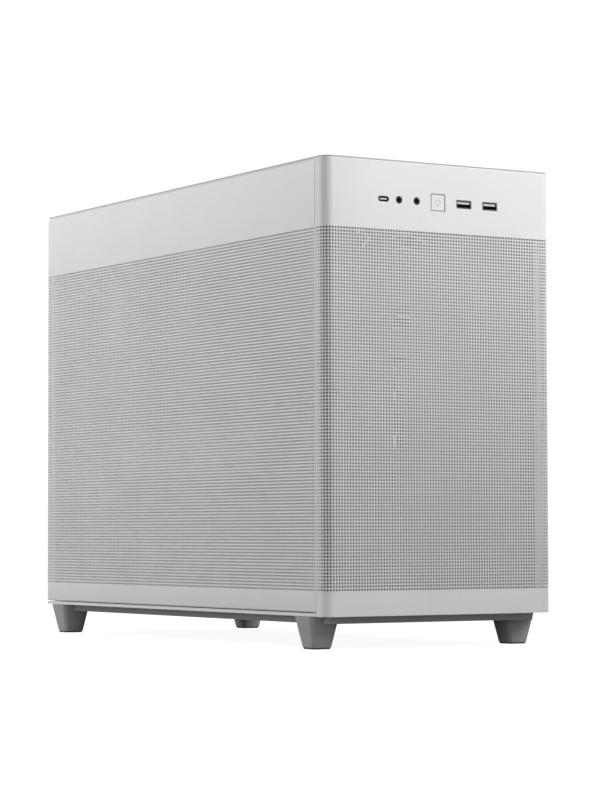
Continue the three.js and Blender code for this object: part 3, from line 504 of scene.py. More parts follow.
def around_front(u, v, depth):
    """The point u along the front cover's outside from its left seam, at height v."""
    first = np.clip(u - STRAIGHT, 0, BEND)
    second = np.clip(u - STRAIGHT - BEND - FACE, 0, BEND)
    turn = math.pi + (first + second) / CORNER_RADIUS
    reach = CORNER_RADIUS - depth
    x = CORNER_RADIUS - HALF_WIDTH + np.clip(u - STRAIGHT - BEND, 0, FACE) + reach * np.cos(turn)
    y = SEAM - np.clip(u, 0, STRAIGHT) + np.clip(u - AROUND + STRAIGHT, 0, STRAIGHT) + reach * np.sin(turn)
    return np.stack([x, y, np.broadcast_to(v, x.shape)], 1)


def front_x(x):
    """How far along the front cover's outside a place on its face is."""
    return STRAIGHT + BEND + x + HALF_WIDTH - CORNER_RADIUS


def bend_lines():
    """Grid lines that follow the cover's round corners."""
    corner = np.linspace(0, BEND, 7)
    return [0, *(STRAIGHT + corner)], [*(AROUND - STRAIGHT - BEND + corner), AROUND]


def front_fascia():
    """The plain band above the perforation, with an opening for each socket and the button."""
    openings = {
        "usb_c_port": (7, rounded(9.7, 4.2, 2.0, 6)),
        "audio_jack_1": (5.5, circle(2.95, 32)),
        "audio_jack_2": (5.5, circle(2.95, 32)),
        "power_button": (8.5, rounded(13.3, 13.3, 0.8, 3)),
        "usb_a_port_1": (9.5, rounded(13.8, 6.4, 0.5, 3)),
        "usb_a_port_2": (9.5, rounded(13.8, 6.4, 0.5, 3)),
    }
    left, right = bend_lines()
    columns, cells = [*left], []
    for node, (half, outline) in openings.items():
        centre = front_x(front_middle(node)[0])
        columns += [centre - half, centre + half]
        cells.append(([(len(columns) - 2, 1)], outline))
    columns += right
    rows = [HOLES_HIGH, SOCKET_Z - SOCKET_ROW, SOCKET_Z + SOCKET_ROW, COVER_TOP]
    thick_sheet("front_fascia", columns, rows, cells, around_front, "front_panel", ["front_panel"])


def front_cover():
    perforated("front", FRONT_FIELDS, AROUND, around_front, "front_panel", 8)
    left, right = bend_lines()
    rows = [BODY_BOTTOM, HOLES_LOW]
    thick_sheet("front_lower_band", [*left, *right], rows, [], around_front, "front_panel")
    front_fascia()
    folds = Shell()
    for low in (BODY_BOTTOM + 0.02, COVER_TOP - SKIN - 0.02):
        outline = cover_outline(SKIN + 0.05, SEAM - 0.2)
        folds.prism(outline, low, low + SKIN)
    for side in (-1, 1):
        x = (side * (HALF_WIDTH - SKIN), side * (HALF_WIDTH - 4.5))
        folds.box(x, (SEAM - SKIN, SEAM), (BODY_BOTTOM + SKIN, COVER_TOP - SKIN))
    build("front_cover_folds", folds, "white_steel", "front_panel")
    pegs = Shell()
    for side in (-1, 1):
        for z in (60, 190, 320):
            pegs.rod(2.2, SEAM - 3, SEAM - 0.9, "y", (side * 86, z), 16)
    build("front_cover_pegs", pegs, "black_plastic", "front_panel")


# ---------------------------------------------------------------- side covers
def side_place(side):
    """Places a sheet on the outside of a side cover; u runs to the right as seen from outside."""

    def place(u, v, depth):
        y = REAR - u if side < 0 else SEAM + SEAM_WIDTH + u
        x = np.full_like(y, side * (HALF_WIDTH - depth))
        return np.stack([x, y, np.broadcast_to(v, x.shape)], 1)

    return place


def folded_band(side, edge, inner):
    """The profile in x and z of a plain band whose outer edge is folded inwards.

    edge is the folded edge's height and inner the height where the band meets the perforation.
    """
    fold, radius = 3.5, 1.0
    way = 1 if edge > inner else -1
    outer, points = [], []
    for k in range(5):
        turn = math.pi / 2 * k / 4
        outer.append((radius * (1 - math.cos(turn)), radius * (1 - math.sin(turn))))
    for inset, drop in [(0, abs(edge - inner)), *outer, (fold, 0), (fold, SKIN), (SKIN, SKIN)]:
        points.append((side * (HALF_WIDTH - inset), edge - way * drop))
    points.append((side * (HALF_WIDTH - SKIN), inner))
    return points


def side_cover(name, side):
    body = f"{name}_side_panel"
    length = REAR - SEAM - SEAM_WIDTH
    perforated(name, SIDE_FIELDS, length, side_place(side), body, 6, [body])
    y = (SEAM + SEAM_WIDTH, REAR)
    bands = Shell()
    bands.prism(folded_band(side, COVER_TOP, HOLES_HIGH), *y, "y")
    bands.prism(folded_band(side, SIDE_LOW, HOLES_LOW), *y, "y")
    build(f"{name}_bands", bands, "white_perforated", body)
    edges = Shell()
    flange_x = (side * (HALF_WIDTH - SKIN - 0.02), side * (HALF_WIDTH - 3.5))
    flange_z = (SIDE_LOW + SKIN + 0.3, COVER_TOP - SKIN - 0.3)
    edges.box(flange_x, (y[0], y[0] + SKIN), flange_z)
    edges.box(flange_x, (y[1] - SKIN, y[1]), flange_z)
    build(f"{name}_edge_folds", edges, "white_perforated", body, bevel=0.15)


# ---------------------------------------------------------------- top cover
def top_place(u, v, depth):
    z = np.full_like(u, CASE_HEIGHT - depth)
    return np.stack([u, v, z], 1)


def top_cover():
    """A perforated sheet inside a rim whose outer face leans in underneath."""
    rim = 2.0
    half = HALF_WIDTH - rim
    across = TOP_HOLES_ACROSS * HOLE_PITCH / 2
    first = -TOP_HOLES_ALONG * HOLE_PITCH / 2 + 5
    runs = 3
    rows = TOP_HOLES_ALONG // runs
    front_edge = FRONT + CORNER_RADIUS
    columns = np.concatenate([[-half], lines(-across, TOP_HOLES_ACROSS), [half]])
    for k in range(runs):
        before = [front_edge] if k == 0 else []
        after = [REAR - rim] if k == runs - 1 else []
        grid_rows = np.concatenate([before, lines(first + k * rows * HOLE_PITCH, rows), after])
        cells = [(i + 1, j + len(before)) for i, j in every_cell(TOP_HOLES_ACROSS, rows)]
        openings = [(cells, circle(HOLE_RADIUS, 6))]
        thick_sheet(
            f"top_mesh_{k + 1}",
            columns,
            grid_rows,
            openings,
            top_place,
            "top_panel",
            ["top_panel"] if k == 0 else (),
            smooth=False,
        )
    corners = Shell()
    corners.prism(cover_outline(rim, front_edge), CASE_HEIGHT - SKIN, CASE_HEIGHT)
    build("top_front_edge", corners, "white_perforated", "top_panel")
    edge = Shell()
    top, low = CASE_HEIGHT, CASE_HEIGHT - TOP_SKIN
    tuck = 0.95
    profile = [(0, top), (0.1, top - 0.25), (tuck, top - 0.9), (tuck, low), (rim, low), (rim, top)]
    rings = [[(x, y, z) for x, y in cover_outline(inset, REAR - inset)] for inset, z in profile]
    edge.loft(rings, closed=True)
    build("top_rim", edge, "white_perforated", "top_panel")
    ribs = Shell()
    for side in (-1, 1):
        ribs.box((side * 84, side * 85.2), (FRONT + 30, REAR - 20), (low - 1.4, top - SKIN))
    for y in (-150, 0, 150):
        for side in (-1, 1):
            ribs.rod(3, low - 1.6, top - SKIN, "z", (side * 91, y), 16)
    build("top_cover_ribs", ribs, "white_steel", "top_panel", bevel=0.2)


# ---------------------------------------------------------------- front sockets and button
def usb_a_socket(node):
    (x0, x1), (y0, y1), (z0, z1) = span(node)
    centre = front_middle(node)
    wide, tall = x1 - x0, z1 - z0
    outer, inner = rounded(wide, tall, 0.5, 3, centre), rounded(wide - 1, tall - 1, 0.3, 3, centre)
    lined = rounded(wide - 1.1, tall - 1.1, 0.3, 3, centre)
    mouth_edge = rounded(wide - 1.7, tall - 1.7, 0.2, 3, centre)
    shell = Shell()
    shell.ring(outer, inner, y0 + 0.4, y1, "y")
    build(f"{node}_shell", shell, "bare_steel", replaced=[node], bevel=0.1)
    liner = Shell()
    liner.ring(outer, mouth_edge, y0, y0 + 0.38, "y")
    liner.ring(lined, mouth_edge, y0 + 0.5, y1, "y")
    liner.box((x0 + 0.6, x1 - 0.6), (y1 - 1.4, y1 - 0.1), (z0 + 0.6, z1 - 0.6))
    build(f"{node}_liner", liner, DARK)
    tongue = Shell()
    tongue.box((x0 + 1.1, x1 - 1.1), (y0 + 0.5, y1 - 1), (centre[1] + 0.25, centre[1] + 1.95))
    build(f"{node}_tongue", tongue, TONGUE, bevel=0.15)
    contacts = Shell()
    for k in range(4):
        x = centre[0] + (k - 1.5) * 2.3
        contacts.box((x - 0.5, x + 0.5), (y0 + 1.2, y1 - 1.2), (centre[1] + 0.05, centre[1] + 0.25))
    build(f"{node}_contacts", contacts, GOLD)


def usb_c_socket(node):
    (x0, x1), (y0, y1), (z0, z1) = span(node)
    centre = front_middle(node)
    wide, tall = x1 - x0, z1 - z0
    shell = Shell()
    outer, inner = rounded(wide, tall, 1.9, 6, centre), rounded(wide - 0.7, tall - 0.7, 1.55, 6, centre)
    shell.ring(outer, inner, y0, y1, "y")
    build(f"{node}_shell", shell, DARK, replaced=[node], bevel=0.05)
    back = Shell()
    back.prism(rounded(wide - 0.8, tall - 0.8, 1.5, 6, centre), y1 - 1.5, y1 - 0.1, "y")
    build(f"{node}_back", back, DARK)
    tongue = Shell()
    tongue.prism(rounded(6.4, 1.15, 0.4, 3, centre), y0 + 0.3, y1 - 1, "y")
    build(f"{node}_tongue", tongue, TONGUE, bevel=0.1)


def audio_socket(node):
    y0, y1 = span(node)[1]
    centre = front_middle(node)
    barrel = Shell()
    barrel.ring(circle(2.8, 32, centre), circle(1.85, 32, centre), y0, y1, "y")
    barrel.ring(rounded(6.8, 6.8, 0.6, 7, centre), circle(2.85, 32, centre), y1 - 6, y1, "y")
    build(f"{node}_barrel", barrel, "black_plastic", replaced=[node], bevel=0.1)
    lining = Shell()
    lining.ring(circle(1.83, 32, centre), circle(1.6, 32, centre), y0 + 2.2, y1 - 2, "y")
    build(f"{node}_contact", lining, "bare_steel")


def power_button():
    y0, y1 = span("power_button")[1]
    centre = (front_middle("power_button")[0], SOCKET_Z)
    cap = Shell()
    cap.loft(
        [
            lift(rounded(11.9, 11.9, 0.5, 3, centre), y0 + 3, "y"),
            lift(rounded(11.9, 11.9, 0.5, 3, centre), y0 + 0.3, "y"),
            lift(rounded(11.5, 11.5, 0.4, 3, centre), y0, "y"),
        ]
    )
    cap.box((centre[0] - 2, centre[0] + 2), (y0 + 2.8, y1), (SOCKET_Z - 2, SOCKET_Z + 2))
    build("power_button_cap", cap, "white_plastic", "power_button", ["power_button"])
    well = Shell()
    outer, inner = rounded(14.6, 14.6, 1.2, 3, centre), rounded(12.2, 12.2, 0.6, 3, centre)
    well.ring(outer, inner, FRONT + SKIN + 0.1, FRONT + 5, "y")
    build("power_button_well", well, "grey_plastic", "front_panel")
    symbol = Shell()
    turns = np.linspace(math.radians(125), math.radians(415), 30)
    band = []
    for radius in (2.5, 2.05):
        arc = [polar(centre, radius, turn) for turn in turns]
        band.append(arc if radius > 2.2 else arc[::-1])
    outline = band[0] + band[1]
    symbol.prism(outline, y0 - 0.03, y0 + 0.3, "y")
    symbol.box((centre[0] - 0.22, centre[0] + 0.22), (y0 - 0.03, y0 + 0.3), (SOCKET_Z + 0.6, SOCKET_Z + 3.1))
    build("power_button_mark", symbol, MARK, "power_button")


def front_sockets():
    for node in ("usb_a_port_1", "usb_a_port_2"):
        usb_a_socket(node)
    usb_c_socket("usb_c_port")
    for node in ("audio_jack_1", "audio_jack_2"):
        audio_socket(node)
    power_button()


# ---------------------------------------------------------------- feet and filter
def feet():
    for node in ("foot_front_left", "foot_front_right", "foot_rear_left", "foot_rear_right"):
        (x0, x1), (y0, y1), (_, top) = span(node)
        centre = (middle((x0, x1)), middle((y0, y1)))
        sizes = [(1.0, 17.0, 4.6), (1.4, 17.9, 4.8), (top - 0.5, x1 - x0, 6.0), (top, x1 - x0 - 0.8, 5.6)]
        body = Shell()
        body.loft([lift(rounded(side, side, radius, 3, centre), z, "z") for z, side, radius in sizes])
        build(f"{node}_body", body, "grey_plastic", replaced=[node], smooth=18)
        pad = Shell()
        pad.loft(
            [
                lift(rounded(16.2, 16.2, 4.4, 4, centre), 0, "z"),
                lift(rounded(17.0, 17.0, 4.6, 4, centre), 0.4, "z"),
                lift(rounded(17.0, 17.0, 4.6, 4, centre), 1.0, "z"),
            ]
        )
        build(f"{node}_pad", pad, RUBBER)


def bottom_filter():
    (x0, x1), (y0, y1), (z0, z1) = span("bottom_filter")
    rail, bar = 6, 2.4
    holder = Shell()
    holder.ring(
        rounded(x1 - x0, y1 - y0, 1.5, 3, (0, middle((y0, y1)))),
        rounded(x1 - x0 - 2 * rail, y1 - y0 - 2 * rail, 1.0, 3, (0, middle((y0, y1)))),
        z0,
        z1,
    )
    bays = 8
    step = (y1 - y0 - 2 * rail) / bays
    for k in range(1, bays):
        y = y0 + rail + k * step
        holder.box((x0 + rail - 0.5, x1 - rail + 0.5), (y - bar / 2, y + bar / 2), (z0 + 0.9, z1 - 0.4))
    for x in (-20.9, 20.9):
        holder.box((x - bar / 2, x + bar / 2), (y0 + rail - 0.5, y1 - rail + 0.5), (z0 + 1.0, z1 - 0.5))
    holder.box((-16, 16), (y1 - 3, y1 - 0.1), (z0 - 0.9, z0 + 0.4))
    build("filter_frame", holder, "grey_plastic", "bottom_filter", ["bottom_filter"], bevel=0.25)
    pitch = 3.0
    columns = int((x1 - x0 - 2 * rail) // pitch)
    rows = int((y1 - y0 - 2 * rail) // pitch)
    grid_x = lines(-columns * pitch / 2, columns, pitch)
    grid_y = lines(middle((y0, y1)) - rows * pitch / 2, rows, pitch)
    grid_x[0], grid_x[-1] = x0 + rail - 0.3, x1 - rail + 0.3
    grid_y[0], grid_y[-1] = y0 + rail - 0.3, y1 - rail + 0.3

    def place(u, v, depth):
        return np.stack([u, v, np.full_like(u, z0 + 0.85 - depth)], 1)

    openings = [(every_cell(columns, rows), rounded(2.2, 2.2, 0.5, 1))]
    gauze = thick_sheet(
        "filter_gauze",
        grid_x,
        grid_y,
        openings,
        place,
        "bottom_filter",
        thick=0.5,
        smooth=False,
        look="grey_plastic",
    )
    gauze.data.materials[0] = MESH_GREY


# ---------------------------------------------------------------- fans
def blade(shell, centre, radii, low, high, start, chord):
    """One curved, pitched blade about +Z."""
    thick, sweep = 1.1, 0.5
    along, across = 7, 7
    grid = [[[], []] for _ in range(along + 1)]
    for i in range(along + 1):
        u = i / along
        radius = radii[0] + u * (radii[1] - radii[0])
        for j in range(across + 1):
            v = j / across
            turn = start + sweep * u * u + chord * (v - 0.15 * u)
            arch = 1.4 * math.sin(math.pi * v)
            z = low + (high - low - thick) * v + arch
            body = thick * (0.45 + 0.55 * math.sin(math.pi * min(1, v + 0.12)))
            x, y = polar(centre, radius, turn)
            grid[i][0].append((x, y, z))
            grid[i][1].append((x, y, z + body))
    rings = [lower + upper[::-1] for lower, upper in grid]
    return shell.loft(rings)


def rotor(node, name, hub, tip, blades, chord, look, turned=None):
    """A hub with blades about the node's own axis; turned maps a rotor about +Z into place."""
    (x0, x1), (y0, y1), (z0, z1) = span(node)
    shell = Shell()
    flat = turned is None
    centre = (middle((x0, x1)), middle((y0, y1))) if flat else (0, 0)
    height = z1 - z0 if flat else y1 - y0
    base = z0 if flat else 0
    top = base + height
    steps = [(hub, base), (hub, top - 2), (hub - 0.8, top - 0.6), (hub - 2.4, top)]
    shell.loft([lift(circle(radius, 40, centre), z, "z") for radius, z in steps])
    for k in range(blades):
        start = 2 * math.pi * k / blades
        blade(shell, centre, (hub - 1.2, tip), base + 1.2, base + height - 2.6, start, chord)
    if turned:
        shell.points = [turned(*p) for p in shell.points]
    return build(name, shell, look, node, [node], smooth=30)


def upright(node):
    """Turns a rotor made about +Z so that it faces along Y, at the node's middle."""
    x, z = front_middle(node)
    back = span(node)[1][1]
    return lambda a, b, c: (x + a, back - c, z + b)


def fan_frame(node, name):
    """A square frame with two flanges, a duct, corner bosses, and a motor mount on swept struts."""
    (x0, x1), (y0, y1), _ = span(node)
    centre = front_middle(node)
    side, bore, flange, wall = x1 - x0, 57.4, 3.4, 1.6
    inner, duct, square = [], [], []
    for k in range(64):
        across, up = math.cos(2 * math.pi * k / 64), math.sin(2 * math.pi * k / 64)
        to_edge = side / 2 / max(abs(across), abs(up))
        clipped = min(to_edge, 0.69 * side)
        for outline, reach in ((inner, bore), (duct, bore + wall), (square, clipped)):
            outline.append((centre[0] + reach * across, centre[1] + reach * up))
    shell = Shell()
    shell.ring(square, inner, y0, y0 + flange, "y")
    shell.ring(square, inner, y1 - flange, y1, "y")
    shell.ring(duct, inner, y0 + flange, y1 - flange, "y")
    for sx, sz in CORNERS:
        boss = (centre[0] + sx * (side / 2 - 7.5), centre[1] + sz * (side / 2 - 7.5))
        shell.rod(4.2, y0 + flange, y1 - flange, "y", boss, 20)
    low, high = y1 - 3, y1 - 0.2
    shell.rod(20, low, high, "y", centre, 40)
    for k in range(4):
        turn = math.pi / 4 + k * math.pi / 2
        path = []
        for s in range(7):
            radius = 19 + (bore - 18) * s / 6
            bend = turn + 0.35 * s / 6
            x, z = polar(centre, radius, bend)
            path.append((x, middle((low, high)), z))
        shell.wire(path, 1.3, 10)
    build(name, shell, "white_plastic", replaced=[node], bevel=0.25)


def fans():
    for place in ("rear", "cooler"):
        node = f"{place}_fan_rotor"
        fan_frame(f"{place}_fan_frame", f"{place}_fan_housing")
        rotor(node, f"{place}_fan_blades", 20, 55.3, 9, 0.62, "white_plastic", upright(node))
    for k in (1, 2):
        rotor(f"gpu_fan_{k}", f"card_fan_{k}_blades", 16.5, 43.8, 11, 0.5, "white_plastic")
    node = "psu_fan_rotor"
    rotor(node, "supply_fan_blades", 21.5, 59.8, 9, 0.6, "black_plastic", upright(node))


# ---------------------------------------------------------------- rear of the case
def screw_head(shell, centre, radius, low, high):
    """A round head that faces +Y, with four raised pads that leave a cross between them."""
    shell.rod(radius, low, high, "y", centre, 24)
    for sx, sz in CORNERS:
        at = (centre[0] + sx * radius * 0.42, centre[1] + sz * radius * 0.42)
        pad = rounded(radius * 0.62, radius * 0.62, radius * 0.2, 2, at)
        shell.prism(pad, high - 0.1, high + 0.5, "y")


def rear_fasteners():
    screws = Shell()
    x, z = front_middle("rear_fan_frame")
    for sx, sz in CORNERS:
        screw_head(screws, (x + sx * 52.5, z + sz * 52.5), 3.2, REAR_FACE, REAR_FACE + 1.4)
    for x, z in ((-74, 33), (-44, 78), (70, 33), (-92, 352), (92, 352), (92, 33), (92, 120), (88, 240)):
        screw_head(screws, (x, z), 2.6, REAR_FACE, REAR_FACE + 1.3)
    build("rear_screws", screws, "bare_steel", bevel=0.15)


def knurled(shell, centre, radius, low, high, axis):
    """A thumb screw's toothed head."""
    teeth = 24
    outline = []
    for k in range(teeth * 2):
        turn = math.pi * k / teeth
        reach = radius - (0.35 if k % 2 else 0)
        outline.append(polar(centre, reach, turn))
    shell.prism(outline, low, high, axis)
    shell.rod(radius * 0.55, low - 0.8, high + 0.5, axis, centre, 24)


def slot_screws():
    """Thumb screws along the ledge that the slot tabs are held by."""
    screws = Shell()
    for k in range(4):
        knurled(screws, (REAR_FACE + 2.8, FIRST_SLOT_Z + 1 - k * SLOT_PITCH), 2.7, -59.4, -54.4, "x")
    build("slot_thumb_screws", screws, "bare_steel", bevel=0.1)


def mouth(shell, liner, tongue, x, z, wide, tall, front, deep=9, tongue_tall=1.6):
    """A socket that opens towards +Y: a thin metal rim, a dark inside, and a tongue if there is one."""
    outer = rounded(wide, tall, 0.6, 3, (x, z))
    inner = rounded(wide - 0.9, tall - 0.9, 0.4, 3, (x, z))
    lined = rounded(wide - 1, tall - 1, 0.4, 3, (x, z))
    inside = rounded(wide - 1.5, tall - 1.5, 0.3, 3, (x, z))
    shell.ring(outer, inner, front - deep, front, "y")
    liner.ring(lined, inside, front - deep, front - 0.3, "y")
    liner.prism(lined, front - deep - 1, front - deep, "y")
    if tongue is not None:
        long_way = wide > tall
        half_x = (wide - 3) / 2 if long_way else tongue_tall / 2
        half_z = tongue_tall / 2 if long_way else (tall - 3) / 2
        tongue.box((x - half_x, x + half_x), (front - deep, front - 1), (z - half_z, z + half_z))


def usb_stack(rims, liners, tongues, x, z, count, front):
    """Upright USB sockets side by side; x is the middle of the first."""
    for k in range(count):
        mouth(rims, liners, tongues, x + k * 7.7, z, 6.0, 13.8, front)


def audio_jacks(x, z, front):
    """Three columns of ringed jacks; x and z are the middle of the lowest one in the first column."""
    looks = {"pink": SOFT_PINK, "green": SOFT_GREEN, "blue": SOFT_BLUE}
    bores = Shell()
    for column, (colour, look) in enumerate(looks.items()):
        rings = Shell()
        for row in range(3):
            centre = (x + column * 10.2, z + row * 11.2)
            rings.ring(circle(3.6, 24, centre), circle(1.8, 24, centre), front - 6, front - 0.2, "y")
            bores.rod(1.8, front - 6, front - 1.9, "y", centre, 24)
        build(f"rear_audio_{colour}", rings, look, bevel=0.15)
    build("rear_audio_bores", bores, DARK)


def rear_sockets():
    """The board's sockets in the rear sheet's opening, in stacks from the top down."""
    (x0, x1), (_, front), _ = span("rear_port_block")
    stacks = {
        "usb_1": (3, 20),
        "network": (26, 52),
        "usb_2": (57, 74),
        "usb_3": (79, 97),
        "audio": (112, 146),
    }
    face = {"network": front - 3.2, "audio": front - 2}
    bodies, rims, liners, tongues = Shell(), Shell(), Shell(), Shell()
    for kind, (start, end) in stacks.items():
        low, high = BOARD_TOP - 4 - end, BOARD_TOP - 4 - start
        z = middle((low, high))
        bodies.box((x0, x1), (195, face.get(kind, front - 10.5)), (low, high))
        if kind == "network":
            mouth(rims, liners, None, x0 + 8, z, 14.5, 16.5, front)
            usb_stack(rims, liners, tongues, x1 - 11.1, z, 2, front)
        elif kind == "audio":
            audio_jacks(x0 + 5.6, low + 5.8, front)
        else:
            usb_stack(rims, liners, tongues, x0 + 4.1, z, 4, front)
    build("rear_socket_bodies", bodies, "bare_steel", replaced=["rear_port_block"], bevel=0.2)
    build("rear_socket_rims", rims, "bare_steel")
    build("rear_socket_insides", liners, DARK)
    build("rear_socket_tongues", tongues, TONGUE, bevel=0.1)


def display_sockets():
    """Three display sockets in the graphics card's bracket."""
    rims, liners, tongues = Shell(), Shell(), Shell()
    for x in (-21.5, 4.5, 30.5):
        at = (x, DISPLAY_SOCKET_Z, 16.2, 5.2, DISPLAY_SOCKET_FACE)
        mouth(rims, liners, tongues, *at, deep=10, tongue_tall=1.0)
    build("display_socket_rims", rims, "bare_steel")
    build("display_socket_insides", liners, DARK)
    build("display_socket_tongues", tongues, DARK, bevel=0.1)


def inlet_pins():
    x, z = front_middle("rear_power_inlet")
    face = span("rear_power_inlet")[1][1]
    pins = Shell()
    for dx, dz in ((-7, -1), (0, -4.5), (7, -1)):
        tip = rounded(2.2, 4, 0.5, 2, (x + dx, z + dz))
        pins.prism(tip, REAR_FACE - 14, REAR_FACE - 0.7, "y")
    build("inlet_pins", pins, "bare_steel", bevel=0.2)
    screws = Shell()
    for side in (-1, 1):
        screw_head(screws, (x + side * 18.3, z), 2.6, face - 0.4, face + 0.7)
    build("inlet_screws", screws, "bare_steel", bevel=0.1)


# ---------------------------------------------------------------- parts on the main board
def on_board(shell, height, y, z):
    return shell.box((BOARD_FACE - height, BOARD_FACE), y, z)


def cooler():
    (x0, x1), (y0, y1), (z0, z1) = span("cooler_fins")
    stack = Shell()
    count, thick = 46, 0.55
    pitch = (x1 - x0 - thick) / (count - 1)
    notch = 5
    for k in range(count):
        x = x0 + k * pitch
        outline = [
            (y0 + notch, z0),
            (y1 - notch, z0),
            (y1, z0 + notch),
            (y1, z1 - notch),
            (y1 - notch, z1),
            (y0 + notch, z1),
            (y0, z1 - notch),
            (y0, z0 + notch),
        ]
        stack.prism(outline, x, x + thick, "x")
    build("cooler_fin_stack", stack, "aluminium", replaced=["cooler_fins"])
    (_, foot), along, high = span("cooler_base")
    y, z = middle(along), middle(high)
    pipes = Shell()
    for row, column in [(r, c) for r in (-9, 9) for c in (-33, -11, 11, 33)]:
        path = [(x0 - 2, y + row, z + column), (x1 + 6, y + row, z + column)]
        path += [(foot - 14, y + row * 0.6, z + column * 0.55), (foot - 5, y + row * 0.3, z + column * 0.3)]
        pipes.wire(smooth_path(path, 6), 2.6, 14)
    build("cooler_heat_pipes", pipes, COPPER)
    block = Shell()
    block.box((foot - 9, foot), (y - 20, y + 20), (z - 20, z + 20))
    block.box((foot - 12, foot - 9), (y - 16, y + 16), (z - 16, z + 16))
    build("cooler_cold_plate", block, "aluminium", replaced=["cooler_base"], bevel=0.4)


def finned(node, name, fins, groove, way):
    """A heatsink: a base on the board with upright fins. way is the axis that the fins run along."""
    (x0, x1), y, z = span(node)
    shell = Shell().box((x1 - 4, x1), y, z)
    spread = z if way == "y" else y
    pitch = (spread[1] - spread[0]) / fins
    for k in range(fins):
        low = spread[0] + k * pitch
        part = (low + groove / 2, low + pitch - groove / 2)
        if way == "y":
            shell.box((x0, x1 - 4), y, part)
        else:
            shell.box((x0, x1 - 4), part, z)
    build(name, shell, "aluminium", replaced=[node], bevel=0.25)


def memory():
    for k in (1, 2):
        (x0, x1), (y0, y1), (z0, z1) = span(f"memory_module_{k}")
        spreader = Shell().box((x0 + 1.5, x1 - 4.5), (y0, y1), (z0 + 1, z1 - 1))
        steps = 9
        pitch = (z1 - z0 - 2) / steps
        for s in range(steps):
            z = z0 + 1 + s * pitch
            spreader.box((x0, x0 + 1.5), (y0 + 0.4, y1 - 0.4), (z + 1.2, z + pitch - 1.2))
            spreader.box((x0 + 8, x1 - 10), (y0 - 0.4, y1 + 0.4), (z + 2, z + pitch - 2))
        build(f"memory_spreader_{k}", spreader, "aluminium", replaced=[f"memory_module_{k}"], bevel=0.25)
        board = Shell().box((x1 - 4.5, x1), (middle((y0, y1)) - 0.6, middle((y0, y1)) + 0.6), (z0, z1))
        build(f"memory_board_{k}", board, "circuit_board")


def board_parts():
    """Chokes, capacitors, chips and connectors round the processor and along the board's edges."""
    chokes, cans, chips, headers, pins = Shell(), Shell(), Shell(), Shell(), Shell()
    for k in range(8):
        z = 226 + k * 13.2
        on_board(chokes, 6.5, (188, 197.5), (z - 4.6, z + 4.6))
        on_board(chips, 1.2, (200, 204), (z - 2.5, z + 2.5))
    for k in range(6):
        z = 236 + k * 15
        cans.rod(3.1, BOARD_FACE - 9, BOARD_FACE, "x", (163.5, z), 20)
    for k in range(5):
        cans.rod(3.1, BOARD_FACE - 9, BOARD_FACE, "x", (100 + k * 9, 215), 20)
    for y, z in ((10, 120), (45, 108), (150, 118), (190, 140), (30, 150), (120, 200)):
        on_board(chips, 1.4, (y - 6, y + 6), (z - 6, z + 6))
    for z in (128, 142, 156):
        on_board(headers, 8, (-22, -12), (z - 5.5, z + 5.5))
    for y in (30, 62, 94, 126, 158, 188):
        on_board(headers, 6, (y - 11, y + 11), (100, 104.5))
        for k in range(8):
            pins.box((BOARD_FACE - 9, BOARD_FACE - 6), (y - 9 + k * 2.5, y - 8.3 + k * 2.5), (101.8, 102.6))
    on_board(headers, 10, (180, 202), (331, 340))
    on_board(headers, 6, (-10, 4), (318, 324))
    build("board_chokes", chokes, "grey_plastic", bevel=0.5)
    build("board_capacitors", cans, "aluminium", bevel=0.5)
    build("board_chips", chips, "black_plastic", bevel=0.15)
    build("board_headers", headers, "white_plastic", bevel=0.25)
    build("board_header_pins", pins, GOLD)
    cell = Shell().rod(10, BOARD_FACE - 3.4, BOARD_FACE, "x", (64, 132), 40)
    build("board_battery", cell, "bare_steel", bevel=0.5)
    drive = Shell().box((BOARD_FACE - 5, BOARD_FACE - 1), (60, 140), (145, 167))
    for k in range(12):
        drive.box((BOARD_FACE - 6.2, BOARD_FACE - 5), (64 + k * 6, 67 + k * 6), (147, 165))
    build("board_drive_cover", drive, "aluminium", bevel=0.25)


def graphics_card():
    (x0, x1), (y0, y1), (z0, z1) = span("gpu_heatsink")
    fins = Shell()
    count = 96
    pitch = (y1 - y0 - 0.5) / (count - 1)
    for k in range(count):
        y = y0 + k * pitch
        fins.box((x0, x1), (y, y + 0.5), (z0, z1))
    build("card_fin_stack", fins, "aluminium", replaced=["gpu_heatsink"])
    (x0, x1), (y0, y1), (_, top) = span("gpu_board")
    plate = Shell()
    plate.box((x0 + 2, x1 - 8), (y0 + 3, y1 - 6), (top - 0.2, top + 1.0))
    for k in range(7):
        y = y0 + 22 + k * 8
        plate.prism(rounded(x1 - x0 - 40, 3.5, 1.7, 4, (middle((x0, x1)) - 3, y)), top + 0.9, top + 1.5)
    build("card_back_plate", plate, "white_plastic", bevel=0.3)


